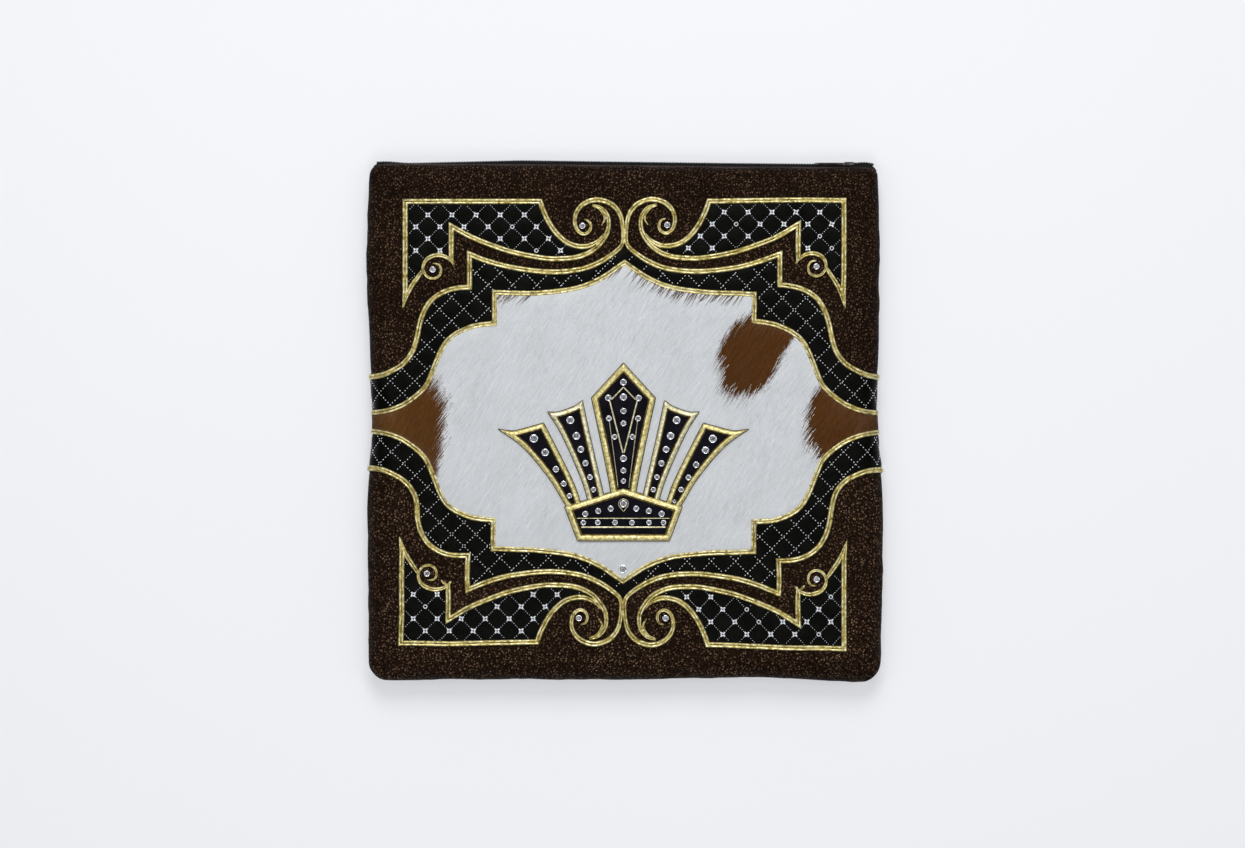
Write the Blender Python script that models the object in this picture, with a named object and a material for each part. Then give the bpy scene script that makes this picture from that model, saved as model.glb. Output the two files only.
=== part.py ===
"""A square tallit and tefillin bag of dark leather, closed by a zip and lying on its back.

Two hollow leather shells meet at a seam round the sides and the bottom, with the zip between them
along the top. The front carries a cowhide field, quilted black leather, gold trim and a crown set
with stones. The scene is in metres: +X is the bag's right, +Y its zip edge, +Z out of its front.
Sizes in this file are in millimetres until a mesh is made.
"""

import math

import bpy
import numpy as np
from mathutils import Vector
from mathutils.geometry import delaunay_2d_cdt

MM = 0.001

# The bag
HALF_WIDTH = 182.0
HALF_HEIGHT = 184.0
SEAM_Z = 15.0
FRONT_RISE = 15.0
FRONT_CROWN = 4.0
RIM = 16.0
WALL = 2.4
GAP = 0.3
RIM_STEPS = 4
LINING_STEPS = 3
PLATEAU_CORNER = 30.0
CORNER_STEPS = 4

# The rings across the flat of the front and of its lining, as shares of the flat's size.
FLAT_SHARES = (0.62, 0.26)
LINING_SHARES = (0.5,)

# The zip: half the mouth's height, where the mouth closes and where the tape and teeth end.
MOUTH = 4.5
MOUTH_END = 181.0
MOUTH_POWER = 24
ZIP_END = 174.0
ZIP_TAPER = 20.0
TAPE = 1.2
TEETH_OUT = 1.0
TEETH_HALF = 1.5
TAPE_TUCK = 2.0
TAPE_SHARE = 0.8
TAPE_TURNS = (-90, -50, -20, 20, 50, 90)

# The slider: its place along the zip, its clearance and thickness, and its outline, drawn from
# its middle: along the zip, half width. Its pull lies along the teeth.
SLIDER_X = 158.0
SLIDER_CLEAR = 0.65
SLIDER_THICK = 1.4
SLIDER_OUTLINE = (
    (4.5, 2.0),
    (0.0, 3.4),
    (-4.5, 2.6),
    (-8.5, 2.2),
    (-24.5, 2.2),
)

# What lies on the front, as heights above its leather.
SHEET_TOP = GAP + 1.0
TRIM_TOP = GAP + 1.8
HIDE_TOP = GAP + 1.7
CROWN_LOW = HIDE_TOP + GAP
CROWN_TOP = CROWN_LOW + 1.0
CROWN_TRIM_TOP = CROWN_LOW + 2.0
STONE_HEIGHT = 1.3
TABLE_SHARE = 0.55
STONE_SIDES = 8

# A loose stone's foot, girdle and table: share of its radius, height above the leather.
LOOSE_STONE = ((0.8, GAP), (1.0, 1.4), (TABLE_SHARE, 2.7))

# How finely outlines and the leather's slope are followed.
SEAM_MARGIN = 1.0
GRID = 40.0
CURVE_TOLERANCE = 0.4
SAMPLES = 10
SLOPE_STEP = 1.2
SHARPEST_MITRE = 0.35
WELD = 0.01

# The middle of the decoration and of the crown.
MIDDLE = (-0.3, -0.6)
CROWN_X = -1.1

# How far the side edges lie in from the half width: height, left, right.
SIDE_EDGES = (
    (-184.0, 1.4, 2.0),
    (-125.0, 1.1, 0.3),
    (-60.0, 0.0, 0.0),
    (-40.0, 1.2, 1.0),
    (-20.0, 4.1, 3.8),
    (0.0, 5.2, 5.2),
    (20.0, 4.1, 5.5),
    (40.0, 2.4, 3.4),
    (60.0, 1.8, 2.8),
    (95.0, 0.0, 2.8),
    (125.0, 0.0, 2.1),
    (184.0, 1.5, 4.0),
)

# How far the top edges lie in from the half height: across, leather, zip teeth.
TOP_EDGES = (
    (-180.0, 2.4, 2.4),
    (-169.0, 3.5, 2.1),
    (-74.0, 3.9, 0.0),
    (0.0, 4.6, 1.1),
    (70.0, 5.6, 2.1),
    (148.0, 6.0, 2.6),
    (174.0, 6.3, 3.0),
)

# How far the bottom edge lies in from the half height: across, inset.
BOTTOM_EDGE = (
    (-165.0, 1.4),
    (-100.0, 1.9),
    (0.0, 1.6),
    (90.0, 3.5),
    (130.0, 1.4),
    (160.0, 0.0),
)

# Corner radii: right or left, top or bottom, radius.
CORNERS = ((1, 1, 4.0), (-1, 1, 8.0), (-1, -1, 12.0), (1, -1, 14.0))
SIDE_STATIONS = (0, 20, 40, 60, 95, 125)
TOP_STATIONS = (0, 60, 120)

# The decoration is drawn for the upper left quarter: out from the middle line, up from the
# middle, width of the trim. Past the flat of the front, out is measured along the leather.
# The bands and the hide run out to the side seams, within the band's reach up and down.
SEAM = 192.0
SEAM_PAST = 5.0
BAND_REACH = 60
BAND_OUTER_SIDE = (
    (SEAM, 31.2, 3.8),
    (172.0, 32.4, 3.8),
    (160.7, 36.9, 3.8),
    (153.7, 42.0, 3.8),
    (148.4, 49.7, 3.8),
    (145.5, 58.6, 3.8),
    (143.4, 68.8, 3.8),
    (140.6, 77.0, 3.8),
    (136.0, 84.4, 3.8),
    (130.0, 89.2, 3.8),
    (122.9, 92.4, 3.8),
    (115.9, 93.8, 3.8),
    (108.6, 94.2, 3.8),
)
BAND_OUTER_SWEEP = (
    (108.6, 117.4, 3.8),
    (96.3, 112.6, 3.8),
    (76.7, 107.7, 3.8),
    (52.2, 104.9, 3.8),
    (31.2, 106.7, 3.8),
    (17.2, 111.9, 3.8),
    (6.0, 119.4, 3.4),
    (1.5, 125.2, 2.9),
    (1.3, 135.7, 2.9),
    (3.2, 145.1, 3.4),
    (8.6, 152.0, 3.8),
    (16.9, 155.3, 3.8),
    (24.2, 154.7, 3.6),
    (30.5, 151.1, 3.2),
    (34.2, 145.5, 2.8),
    (34.8, 139.2, 2.6),
    (32.8, 133.9, 2.4),
    (28.8, 131.4, 2.2),
    (24.9, 133.2, 1.8),
    (23.6, 137.0, 1.5),
    (25.3, 140.6, 1.0),
)
BAND_INNER_SIDE = (
    (SEAM, 6.4, 3.6),
    (170.0, 7.2, 3.6),
    (157.6, 10.8, 3.8),
    (149.9, 15.3, 3.8),
    (142.9, 21.0, 3.8),
    (137.8, 27.4, 3.8),
    (132.1, 41.5, 3.8),
    (128.6, 49.7, 3.8),
    (123.8, 57.0, 3.8),
    (116.8, 62.4, 3.8),
    (107.0, 66.6, 3.8),
    (99.0, 68.1, 3.8),
    (91.0, 68.7, 3.8),
)
BAND_INNER_SWEEP = (
    (91.0, 90.6, 3.8),
    (73.2, 90.0, 3.8),
    (58.0, 90.3, 3.8),
    (34.7, 93.3, 3.8),
    (17.2, 100.0, 3.8),
    (0.0, 111.5, 3.8),
)

# The bands' leather meets on the middle line here, below where the volutes begin.
BAND_MIDDLE_UP = 123.8
VOLUTE_FROM = 122.0

# The mitred tip of an inner line: how far it reaches out, half its height and its slope.
TIP_REACH = 6.0
TIP_HALF = 2.3
TIP_SLOPE = 0.66

FRAME_CONCAVE = (
    (14.6, 131.5, 0.8),
    (18.3, 126.9, 2.4),
    (24.2, 123.5, 3.6),
    (30.3, 122.7, 3.8),
    (37.0, 124.0, 3.8),
    (42.8, 127.3, 3.8),
    (48.4, 132.9, 3.8),
    (52.9, 139.5, 3.8),
    (56.8, 147.6, 3.8),
    (59.2, 154.4, 3.8),
)
FRAME_STRIPS = (
    (59.2, 154.4, 3.8),
    (153.7, 154.4, 3.8),
    (153.7, 92.0, 3.8),
    (155.4, 79.6, 0.6),
)
FRAME_TAIL = (
    (155.4, 79.6, 0.6),
    (152.4, 88.4, 2.6),
    (149.5, 94.6, 3.4),
    (145.0, 101.0, 3.2),
    (141.4, 106.0, 2.4),
)
FRAME_CURL = (
    (119.0, 110.1, 0.8),
    (124.3, 115.0, 2.6),
    (130.6, 116.8, 3.2),
    (136.9, 115.0, 3.2),
    (140.4, 111.2, 2.6),
    (141.1, 106.3, 2.0),
    (138.3, 101.7, 1.2),
    (133.8, 100.3, 1.0),
    (129.6, 102.4, 0.9),
    (128.5, 107.0, 0.8),
    (130.6, 110.1, 0.7),
)
FRAME_STEP = (
    (120.0, 109.8, 0.8),
    (121.1, 113.8, 2.8),
    (121.4, 118.0, 3.8),
    (121.4, 137.0, 3.8),
)
FRAME_SWEEP = (
    (121.4, 137.0, 3.8),
    (108.2, 129.9, 3.8),
    (96.3, 124.9, 3.8),
    (78.5, 118.9, 3.8),
    (57.1, 114.7, 3.8),
    (45.2, 114.2, 3.8),
    (31.9, 115.7, 3.8),
    (20.4, 121.3, 3.6),
    (12.9, 131.0, 3.0),
    (11.1, 138.5, 2.4),
    (12.2, 145.0, 2.0),
    (16.6, 150.0, 1.6),
    (22.6, 151.6, 1.2),
)
FRAME_COMMA = (
    (22.6, 151.4, 1.2),
    (17.6, 149.2, 1.8),
    (14.4, 144.8, 1.8),
    (14.0, 141.3, 1.4),
    (16.3, 137.5, 0.7),
)

# A corner panel's edge follows this many rows of the curl, and of the sweep before its volute.
CURL_ROUND = 5
SWEEP_TO_VOLUTE = 8

VOLUTE_EYE = (29.5, 137.2)
CURL_EYE = (134.4, 106.6)

# Where the hand-cut corners depart from the upper left ones. Each row is a place out and up, and
# how far further out and up it lies in the upper right, lower left and lower right quarters.
HAND_DRIFT = (
    (155.6, 156.5, -0.1, 0.7, 3.1, 0.6, 0.1, 4.6),
    (155.3, 79.8, -0.8, -0.1, 2.4, 0.8, 0.2, 3.9),
    (57.8, 157.0, -0.1, 0.1, 2.2, -0.2, -1.0, 1.7),
    (121.4, 139.5, 0.4, 1.4, 2.3, 1.7, 0.4, 4.8),
    (121.4, 110.1, 0.4, 0.8, 2.3, 1.8, 0.4, 5.5),
    (108.6, 120.3, 0.1, 0.0, 1.1, 0.2, -0.8, 2.8),
    (108.6, 93.0, 0.1, 1.7, 1.1, -0.5, -0.8, 3.2),
    (91.0, 93.0, -0.4, -1.4, 0.8, -1.9, -0.7, 0.1),
    (91.0, 66.8, -0.4, 1.7, 0.8, 0.0, -0.7, 1.2),
    (29.5, 137.2, 0.4, 0.6, 2.5, 0.2, -0.8, 0.2),
    (134.1, 107.1, -0.1, 2.2, 4.0, -0.3, 0.1, 3.7),
    (148.4, 49.7, -0.4, 0.0, -0.9, 0.4, -0.4, 0.0),
    (SEAM, 31.7, 0.0, -0.2, 0.0, 1.3, 0.0, 2.6),
    (SEAM, 6.4, 0.0, -0.5, 0.0, 0.0, 0.0, 0.4),
    (0.0, 123.8, 0.0, 0.0, 1.2, 0.0, -1.2, 0.0),
    (0.0, 111.5, 0.0, 0.0, 1.2, 0.0, -1.2, 0.0),
)
DRIFT_SOFTNESS = 0.05
QUARTERS ={"tl": (-1, 1, None), "tr": (1, 1, 2), "bl": (-1, -1, 4), "br": (1, -1, 6)}

# The crown's outlines: out from its middle line, up from the decoration's middle.
CROWN_BAR = 3.6
CROWN_CENTRE = ((0.0, 41.3), (22.5, 16.7), (17.6, -5.7), (10.6, -39.5), (8.6, -52.0))
CROWN_RAY_INNER = (
    (53.1, 7.1),
    (40.9, 8.5),
    (28.6, 15.0),
    (23.9, -6.9),
    (16.4, -39.5),
    (12.5, -56.0),
    (23.5, -60.0),
    (29.8, -39.5),
    (43.2, -9.2),
)
CROWN_RAY_OUTER = (
    (87.9, -4.9),
    (72.9, -5.4),
    (55.7, -0.7),
    (36.2, -39.5),
    (29.0, -59.0),
    (36.0, -62.0),
    (40.9, -57.6),
    (52.0, -39.5),
    (70.1, -18.0),
)
CROWN_BASE = ((0.0, -46.3), (41.3, -59.3), (32.2, -83.3))
BASE_BAR = 4.8

# The crown's stones: out, up, radius. Those off the middle line stand on both sides of it.
RAY_INNER_STONES = (
    (37.1, 1.2, 2.4),
    (32.9, -9.8, 2.2),
    (29.8, -19.2, 2.1),
    (26.5, -28.9, 1.9),
    (23.4, -38.6, 1.8),
    (20.9, -47.3, 1.6),
)
RAY_LEFT_STONES = (
    (62.6, -11.6, 2.4),
    (54.7, -21.4, 2.2),
    (47.2, -33.1, 2.0),
    (41.8, -43.2, 1.8),
    (37.7, -51.6, 1.5),
)
RAY_RIGHT_STONES = (
    (62.4, -11.9, 2.4),
    (57.3, -19.8, 2.2),
    (50.8, -30.0, 2.0),
    (45.4, -38.9, 1.8),
    (40.3, -47.3, 1.6),
)
CENTRE_STONES = (
    (0.0, 27.6, 2.3),
    (0.0, 17.3, 2.4),
    (0.0, 7.6, 2.2),
    (0.0, -1.1, 2.2),
    (10.6, 16.7, 2.1),
    (10.2, 2.4, 2.1),
    (6.2, -10.5, 1.9),
    (0.0, -25.6, 2.4),
    (0.0, -34.0, 1.9),
    (0.0, -41.3, 1.5),
)
BASE_STONES = (
    (0.0, -57.0, 2.5),
    (8.0, -60.2, 1.9),
    (17.2, -61.7, 1.9),
    (26.5, -63.8, 1.9),
    (6.1, -70.0, 1.9),
    (18.4, -70.0, 1.9),
    (28.7, -70.0, 1.8),
)
EYE_STONES = (("scroll", VOLUTE_EYE, 2.2), ("curl", CURL_EYE, 2.2))
BOTTOM_STONE = (-1.2, -103.0, 3.1)

BROWN_LEATHER = ((0.035, 0.021, 0.015), 0.62, 0.0)
BLACK_LEATHER = ((0.008, 0.009, 0.011), 0.5, 0.0)
HIDE = ((0.70, 0.71, 0.74), 0.85, 0.0)
GOLD = ((0.72, 0.56, 0.22), 0.35, 0.9)
CRYSTAL = ((0.85, 0.87, 0.9), 0.08, 0.0)
BLACK_TAPE = ((0.006, 0.006, 0.007), 0.8, 0.0)
DARK_METAL = ((0.12, 0.11, 0.10), 0.35, 0.9)


def column(table, index):
    """One column of a table."""
    return [row[index] for row in table]


def side_inset(x, y):
    """How far the side edge on x's side lies in at height y."""
    return np.interp(y, column(SIDE_EDGES, 0), column(SIDE_EDGES, 1 if x < 0 else 2))


def end_inset(x, y):
    """How far the leather's top or bottom edge lies in at x."""
    table = TOP_EDGES if y > 0 else BOTTOM_EDGE
    return np.interp(x, column(table, 0), column(table, 1))


def pulled_in(x, y):
    """A point of the plain rectangle, moved as the uneven edges move it."""
    across = math.copysign(side_inset(x, y) * abs(x / HALF_WIDTH) ** 3, x)
    along = math.copysign(end_inset(x, y) * abs(y / HALF_HEIGHT) ** 3, y)
    return x - across, y - along


def crowning(x, y):
    """How far the stuffed front stands above the flat between its rims."""
    return FRONT_CROWN * (1 - (x / HALF_WIDTH) ** 2) * (1 - (y / HALF_HEIGHT) ** 2)


def mouth(x):
    """Half the height of the zip's mouth at x."""
    return MOUTH * max(0.0, 1 - (abs(x) / MOUTH_END) ** MOUTH_POWER)


def rim_points(steps, inset, width, rise):
    """A rim's section from the seam to the flat: how far in, share of the rise."""
    turns = [math.pi / 2 * i / steps for i in range(steps + 1)]
    return [(inset + width * (1 - math.cos(a)), rise * math.sin(a)) for a in turns]


def ring(inset):
    """A closed ring at this inset: x, y and how much each point belongs to the top edge."""
    share = min(1.0, inset / RIM)
    points = []
    for right, top, seam_radius in CORNERS:
        radius = seam_radius + (PLATEAU_CORNER - seam_radius) * share
        middle_x = right * (HALF_WIDTH - inset - radius)
        middle_y = top * (HALF_HEIGHT - inset - radius)
        first = {(1, 1): 0, (-1, 1): 90, (-1, -1): 180, (1, -1): 270}[right, top]
        for step in range(CORNER_STEPS + 1):
            angle = math.radians(first + 90 * step / CORNER_STEPS)
            x = middle_x + radius * math.cos(angle)
            y = middle_y + radius * math.sin(angle)
            points.append((x, y, max(0.0, math.sin(angle)) ** 2 if top > 0 else 0.0))
        along_x = HALF_HEIGHT - inset
        along_y = HALF_WIDTH - inset
        if (right, top) == (1, 1):
            points += [(x, along_x, 1.0) for x in mirrored(TOP_STATIONS, -1)]
        elif (right, top) == (-1, 1):
            points += [(-along_y, y, 0.0) for y in mirrored(SIDE_STATIONS, -1)]
        elif (right, top) == (-1, -1):
            points += [(x, -along_x, 0.0) for x in mirrored(TOP_STATIONS, 1)]
        else:
            points += [(along_y, y, 0.0) for y in mirrored(SIDE_STATIONS, 1)]
    return points


def mirrored(stations, way):
    """Stations on both sides of zero, rising or falling."""
    both = sorted({float(s) for s in stations} | {-float(s) for s in stations})
    return both[::way]


def scaled_ring(points, share):
    """A ring drawn in towards the middle."""
    return [(x * share, y * share, top) for x, y, top in points]


def material(name, look):
    """A plain material of one colour, roughness and metallic value."""
    colour, roughness, metallic = look
    made = bpy.data.materials.get(name)
    if made is None:
        made = bpy.data.materials.new(name)
        made.use_nodes = True
        shader = made.node_tree.nodes["Principled BSDF"]
        shader.inputs["Base Color"].default_value = (*colour, 1)
        shader.inputs["Roughness"].default_value = roughness
        shader.inputs["Metallic"].default_value = metallic
    return made


def add_object(name, points, faces, look_name, look):
    """An object of one closed mesh, from points in millimetres."""
    mesh = bpy.data.meshes.new(name)
    mesh.from_pydata([Vector(p) * MM for p in points], [], faces)
    mesh.validate()
    mesh.materials.append(material(look_name, look))
    made = bpy.data.objects.new(name, mesh)
    bpy.context.scene.collection.objects.link(made)
    return made


def bridge(faces, first, second, count):
    """Quads between two closed rings, given by the index of each one's first point."""
    for i in range(count):
        j = (i + 1) % count
        faces.append((first + i, first + j, second + j, second + i))


def shell(name, front):
    """A hollow half of the bag: its outside from the seam in, then its lining back to the seam."""
    sign = 1 if front else -1
    rise = FRONT_RISE if front else SEAM_Z
    flat_shares = FLAT_SHARES if front else ()
    lining_shares = LINING_SHARES if front else ()
    outside = rim_points(RIM_STEPS, 0.0, RIM, rise - GAP / 2)
    lining = rim_points(LINING_STEPS, WALL, RIM - WALL, rise - GAP / 2 - WALL)
    points = []

    def lay(flat_ring, climb, full):
        for x, y, top in flat_ring:
            px, py = pulled_in(x, y)
            lift = mouth(px) * top * (1 - climb / full)
            crown = crowning(px, py) if front else 0.0
            points.append((px, py, SEAM_Z + sign * (GAP / 2 + climb + lift) + crown))

    rings = []
    for inset, climb in outside:
        rings.append(len(points))
        lay(ring(inset), climb, outside[-1][1])
    for share in flat_shares:
        rings.append(len(points))
        lay(scaled_ring(ring(RIM), share), outside[-1][1], outside[-1][1])
    count = len(ring(0.0))
    outer_middle = len(points)
    points.append((0.0, 0.0, SEAM_Z + sign * rise + (FRONT_CROWN if front else 0.0)))
    lining_rings = []
    for inset, climb in lining:
        lining_rings.append(len(points))
        lay(ring(inset), climb, lining[-1][1])
    for share in lining_shares:
        lining_rings.append(len(points))
        lay(scaled_ring(ring(RIM), share), lining[-1][1], lining[-1][1])
    inner_middle = len(points)
    points.append((0.0, 0.0, SEAM_Z + sign * (rise - WALL) + (FRONT_CROWN if front else 0.0)))
    faces = []
    for first, second in zip(rings, rings[1:]):
        bridge(faces, first, second, count)
    for i in range(count):
        faces.append((rings[-1] + i, rings[-1] + (i + 1) % count, outer_middle))
    for first, second in zip(lining_rings, lining_rings[1:]):
        bridge(faces, second, first, count)
    for i in range(count):
        faces.append((lining_rings[-1] + (i + 1) % count, lining_rings[-1] + i, inner_middle))
    bridge(faces, lining_rings[0], rings[0], count)
    if not front:
        faces = [face[::-1] for face in faces]
    return add_object(name, points, faces, "brown_leather", BROWN_LEATHER)


def plateau_edge(side, y):
    """Where the flat of the front ends on one side, at height y."""
    edge = HALF_WIDTH - RIM
    return edge - side_inset(side, y) * (edge / HALF_WIDTH) ** 3


RIM_KNOTS = rim_points(RIM_STEPS, 0.0, RIM, FRONT_RISE - GAP / 2)[::-1]
RIM_ARCS = [0.0]
for knot, following in zip(RIM_KNOTS, RIM_KNOTS[1:]):
    RIM_ARCS.append(RIM_ARCS[-1] + math.dist(knot, following))


def leather_point(out, y):
    """A point of the front's leather. Past the flat, out is measured along the leather."""
    side = math.copysign(1, out)
    past = abs(out) - plateau_edge(side, y)
    if past <= 0:
        return Vector((out, y, SEAM_Z + FRONT_RISE + crowning(out, y)))
    inset = np.interp(past, RIM_ARCS, [knot[0] for knot in RIM_KNOTS])
    climb = np.interp(past, RIM_ARCS, [knot[1] for knot in RIM_KNOTS])
    plain = HALF_WIDTH - inset
    x = side * (plain - side_inset(side, y) * (plain / HALF_WIDTH) ** 3)
    return Vector((x, y, SEAM_Z + GAP / 2 + climb + crowning(x, y)))


def above_leather(out, y, height):
    """A point this far above the front's leather."""
    side = 1 if out > 0 else -1
    reach = plateau_edge(side, y) + RIM_ARCS[-1] - WELD
    outer = min(abs(out) + SLOPE_STEP, reach)
    across = leather_point(side * outer, y) - leather_point(side * (outer - 2 * SLOPE_STEP), y)
    along = leather_point(out, y + SLOPE_STEP) - leather_point(out, y - SLOPE_STEP)
    normal = (across * side).cross(along).normalized()
    return leather_point(out, y) + normal * height


def drift(quarter, out, up):
    """How far a quarter's decoration departs from the upper left one's, near this place."""
    first = QUARTERS[quarter][2]
    if first is None:
        return 0.0, 0.0
    weights = [1 / (DRIFT_SOFTNESS + math.dist((out, up), row[:2]) ** 2) for row in HAND_DRIFT]
    total = sum(weights)
    moved = [sum(w * row[first + k] for w, row in zip(weights, HAND_DRIFT)) / total for k in (0, 1)]
    return moved[0], moved[1]


def place(quarter, out, up):
    """A point drawn for the upper left quarter, in another quarter."""
    right, top, _ = QUARTERS[quarter]
    drift_out, drift_up = drift(quarter, out, up)
    return MIDDLE[0] + right * (out + drift_out), MIDDLE[1] + top * (up + drift_up)


def smooth(rows):
    """A smooth line through rows of out, up and width, with as few points as its bends need."""
    if len(rows) < 3:
        return [tuple(row) for row in rows]
    ends = [2 * np.array(rows[0]) - rows[1], *map(np.array, rows), 2 * np.array(rows[-1]) - rows[-2]]
    line = []
    for a, b, c, d in zip(ends, ends[1:], ends[2:], ends[3:]):
        for step in range(SAMPLES):
            t = step / SAMPLES
            cubic = 2 * b + (c - a) * t + (2 * a - 5 * b + 4 * c - d) * t**2
            line.append((cubic + (3 * b - a - 3 * c + d) * t**3) / 2)
    line.append(np.array(rows[-1], float))
    return thinned(line)


def thinned(line):
    """The line without the points that lie within the tolerance of a straight run."""
    start = np.array(line[0][:2], float)
    run = np.array(line[-1][:2], float) - start
    length = max(np.hypot(*run), 1e-9)
    offsets = []
    for point in line[1:-1]:
        rel = np.array(point[:2], float) - start
        share = min(1.0, max(0.0, rel @ run / length**2))
        offsets.append(np.hypot(*(rel - run * share)))
    if not offsets or max(offsets) < CURVE_TOLERANCE:
        return [tuple(line[0]), tuple(line[-1])]
    cut = 1 + int(np.argmax(offsets))
    return thinned(line[: cut + 1])[:-1] + thinned(line[cut:])


def strip(runs, widen=0.0):
    """The closed outline of a trim that follows smooth runs, mitred where they meet."""
    line = []
    for rows in runs:
        line += smooth(rows)[1 if line else 0 :]
    flat = np.array([row[:2] for row in line], float)
    widths = [row[2] + widen for row in line]
    left, right = [], []
    for i, (point, width) in enumerate(zip(flat, widths)):
        before = flat[i] - flat[i - 1] if i else flat[1] - flat[0]
        after = flat[i + 1] - flat[i] if i + 1 < len(flat) else before
        before, after = before / np.hypot(*before), after / np.hypot(*after)
        across = np.array([-(before + after)[1], (before + after)[0]])
        across = across / max(np.hypot(*across), 1e-6)
        stretch = 1 / max(SHARPEST_MITRE, abs(across @ np.array([-before[1], before[0]])))
        left.append(point + across * stretch * width / 2)
        right.append(point - across * stretch * width / 2)
    ends = (flat[0] - flat[1]) / np.hypot(*(flat[0] - flat[1])) * widen / 2
    left[0], right[0] = left[0] + ends, right[0] + ends
    ends = (flat[-1] - flat[-2]) / np.hypot(*(flat[-1] - flat[-2])) * widen / 2
    left[-1], right[-1] = left[-1] + ends, right[-1] + ends
    return left + right[::-1]


def inset_loop(loop, by):
    """A closed loop drawn in by one width, with its corners mitred."""
    area = sum(a[0] * b[1] - b[0] * a[1] for a, b in zip(loop, loop[1:] + loop[:1]))
    turn = 1 if area > 0 else -1
    points = [np.array(p, float) for p in loop]
    drawn = []
    for before, point, after in zip(points[-1:] + points[:-1], points, points[1:] + points[:1]):
        first = (point - before) / np.hypot(*(point - before))
        second = (after - point) / np.hypot(*(after - point))
        inward = turn * np.array([-(first + second)[1], (first + second)[0]])
        inward = inward / np.hypot(*inward)
        drawn.append(point + inward * by / (turn * (inward @ np.array([-first[1], first[0]]))))
    return drawn


def winding(points, loop):
    """Whether a closed loop runs round each point."""
    ends = np.array(loop, float)[None] - points[:, None]
    following = np.roll(ends, -1, axis=1)
    cross = ends[..., 0] * following[..., 1] - ends[..., 1] * following[..., 0]
    dot = (ends * following).sum(axis=2)
    return np.abs(np.arctan2(cross, dot).sum(axis=1)) > math.pi


def region(inside, outside=(), lines=(), spots=(), cells=()):
    """Triangles of the area within any inside loop and no outside loop.

    Lines and cells become edges. It gives the points, the triangles, and for each triangle the
    number of the cell that it lies in, or -1.
    """
    points, edges = [], []
    for loop in [*inside, *outside, *cells]:
        first = len(points)
        points += [Vector((float(p[0]), float(p[1]))) for p in loop]
        edges += [(first + i, first + (i + 1) % len(loop)) for i in range(len(loop))]
    for line in lines:
        first = len(points)
        points += [Vector((float(p[0]), float(p[1]))) for p in line]
        edges += [(first + i, first + i + 1) for i in range(len(line) - 1)]
    points += [Vector((float(p[0]), float(p[1]))) for p in spots]
    found, _, faces, *_ = delaunay_2d_cdt(points, edges, [], 0, WELD)
    flat = np.array([tuple(p) for p in found])
    faces = np.array([tuple(face) for face in faces])
    middles = flat[faces].mean(axis=1)
    kept = np.zeros(len(faces), bool)
    for loop in inside:
        kept |= winding(middles, loop)
    for loop in outside:
        kept &= ~winding(middles, loop)
    cell_of = np.full(len(faces), -1)
    for number, loop in enumerate(cells):
        cell_of[winding(middles, loop)] = number
    largest = biggest_piece(faces, kept)
    faces, cell_of = faces[largest], cell_of[largest]
    used, faces = np.unique(faces, return_inverse=True)
    return flat[used], faces.reshape(-1, 3), cell_of


def biggest_piece(faces, kept):
    """The triangles of the largest connected piece among those kept."""
    by_edge = {}
    for number in np.flatnonzero(kept):
        for a, b in zip(faces[number], np.roll(faces[number], -1)):
            by_edge.setdefault((min(a, b), max(a, b)), []).append(number)
    neighbours = {}
    for pair in by_edge.values():
        if len(pair) == 2:
            neighbours.setdefault(pair[0], []).append(pair[1])
            neighbours.setdefault(pair[1], []).append(pair[0])
    best, seen = [], set()
    for start in np.flatnonzero(kept):
        if start in seen:
            continue
        piece, waiting = [], [start]
        seen.add(start)
        while waiting:
            number = waiting.pop()
            piece.append(number)
            for other in neighbours.get(number, ()):
                if other not in seen:
                    seen.add(other)
                    waiting.append(other)
        if len(piece) > len(best):
            best = piece
    return np.array(sorted(best))


def plate(name, area, low, high, look_name, look, stones=()):
    """A plate on the front's leather over a flat area, with stones standing on it."""
    flat, faces, cell_of = area
    count = len(flat)
    points = [above_leather(x, y, low) for x, y in flat]
    points += [above_leather(x, y, high) for x, y in flat]
    solid = [tuple(face[::-1]) for face in faces]
    solid += [tuple(face + count) for face, cell in zip(faces, cell_of) if cell < 0]
    directed = {(a, b) for face in faces for a, b in zip(face, np.roll(face, -1))}
    for a, b in directed:
        if (b, a) not in directed:
            solid.append((a, b, b + count, a + count))
    for x, y, radius in stones:
        rim = []
        for corner in stone_corners(x, y, radius):
            rim.append(count + int(np.argmin(np.hypot(*(flat - corner).T))))
        first = len(points)
        for corner in stone_corners(x, y, radius * TABLE_SHARE):
            points.append(above_leather(*corner, high + STONE_HEIGHT))
        for i in range(STONE_SIDES):
            j = (i + 1) % STONE_SIDES
            solid.append((rim[i], rim[j], first + j, first + i))
        solid.append(tuple(range(first, first + STONE_SIDES)))
    return add_object(name, points, solid, look_name, look)


def stone_corners(x, y, radius):
    """The eight corners of a cut stone's outline."""
    turns = [math.tau * (i + 0.5) / STONE_SIDES for i in range(STONE_SIDES)]
    return [(x + radius * math.cos(a), y + radius * math.sin(a)) for a in turns]


def rim_line(side, arc):
    """A line along one rim of the front, this far past the flat, over the bands' reach."""
    rows = mirrored([s for s in SIDE_STATIONS if s <= BAND_REACH], 1)
    return [(side * (plateau_edge(side, y) + arc), y) for y in rows]


def rim_lines():
    """Lines along both rims of the front, at the bends of its section."""
    return [rim_line(side, arc) for side in (-1, 1) for arc in RIM_ARCS[:-1]]


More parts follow.
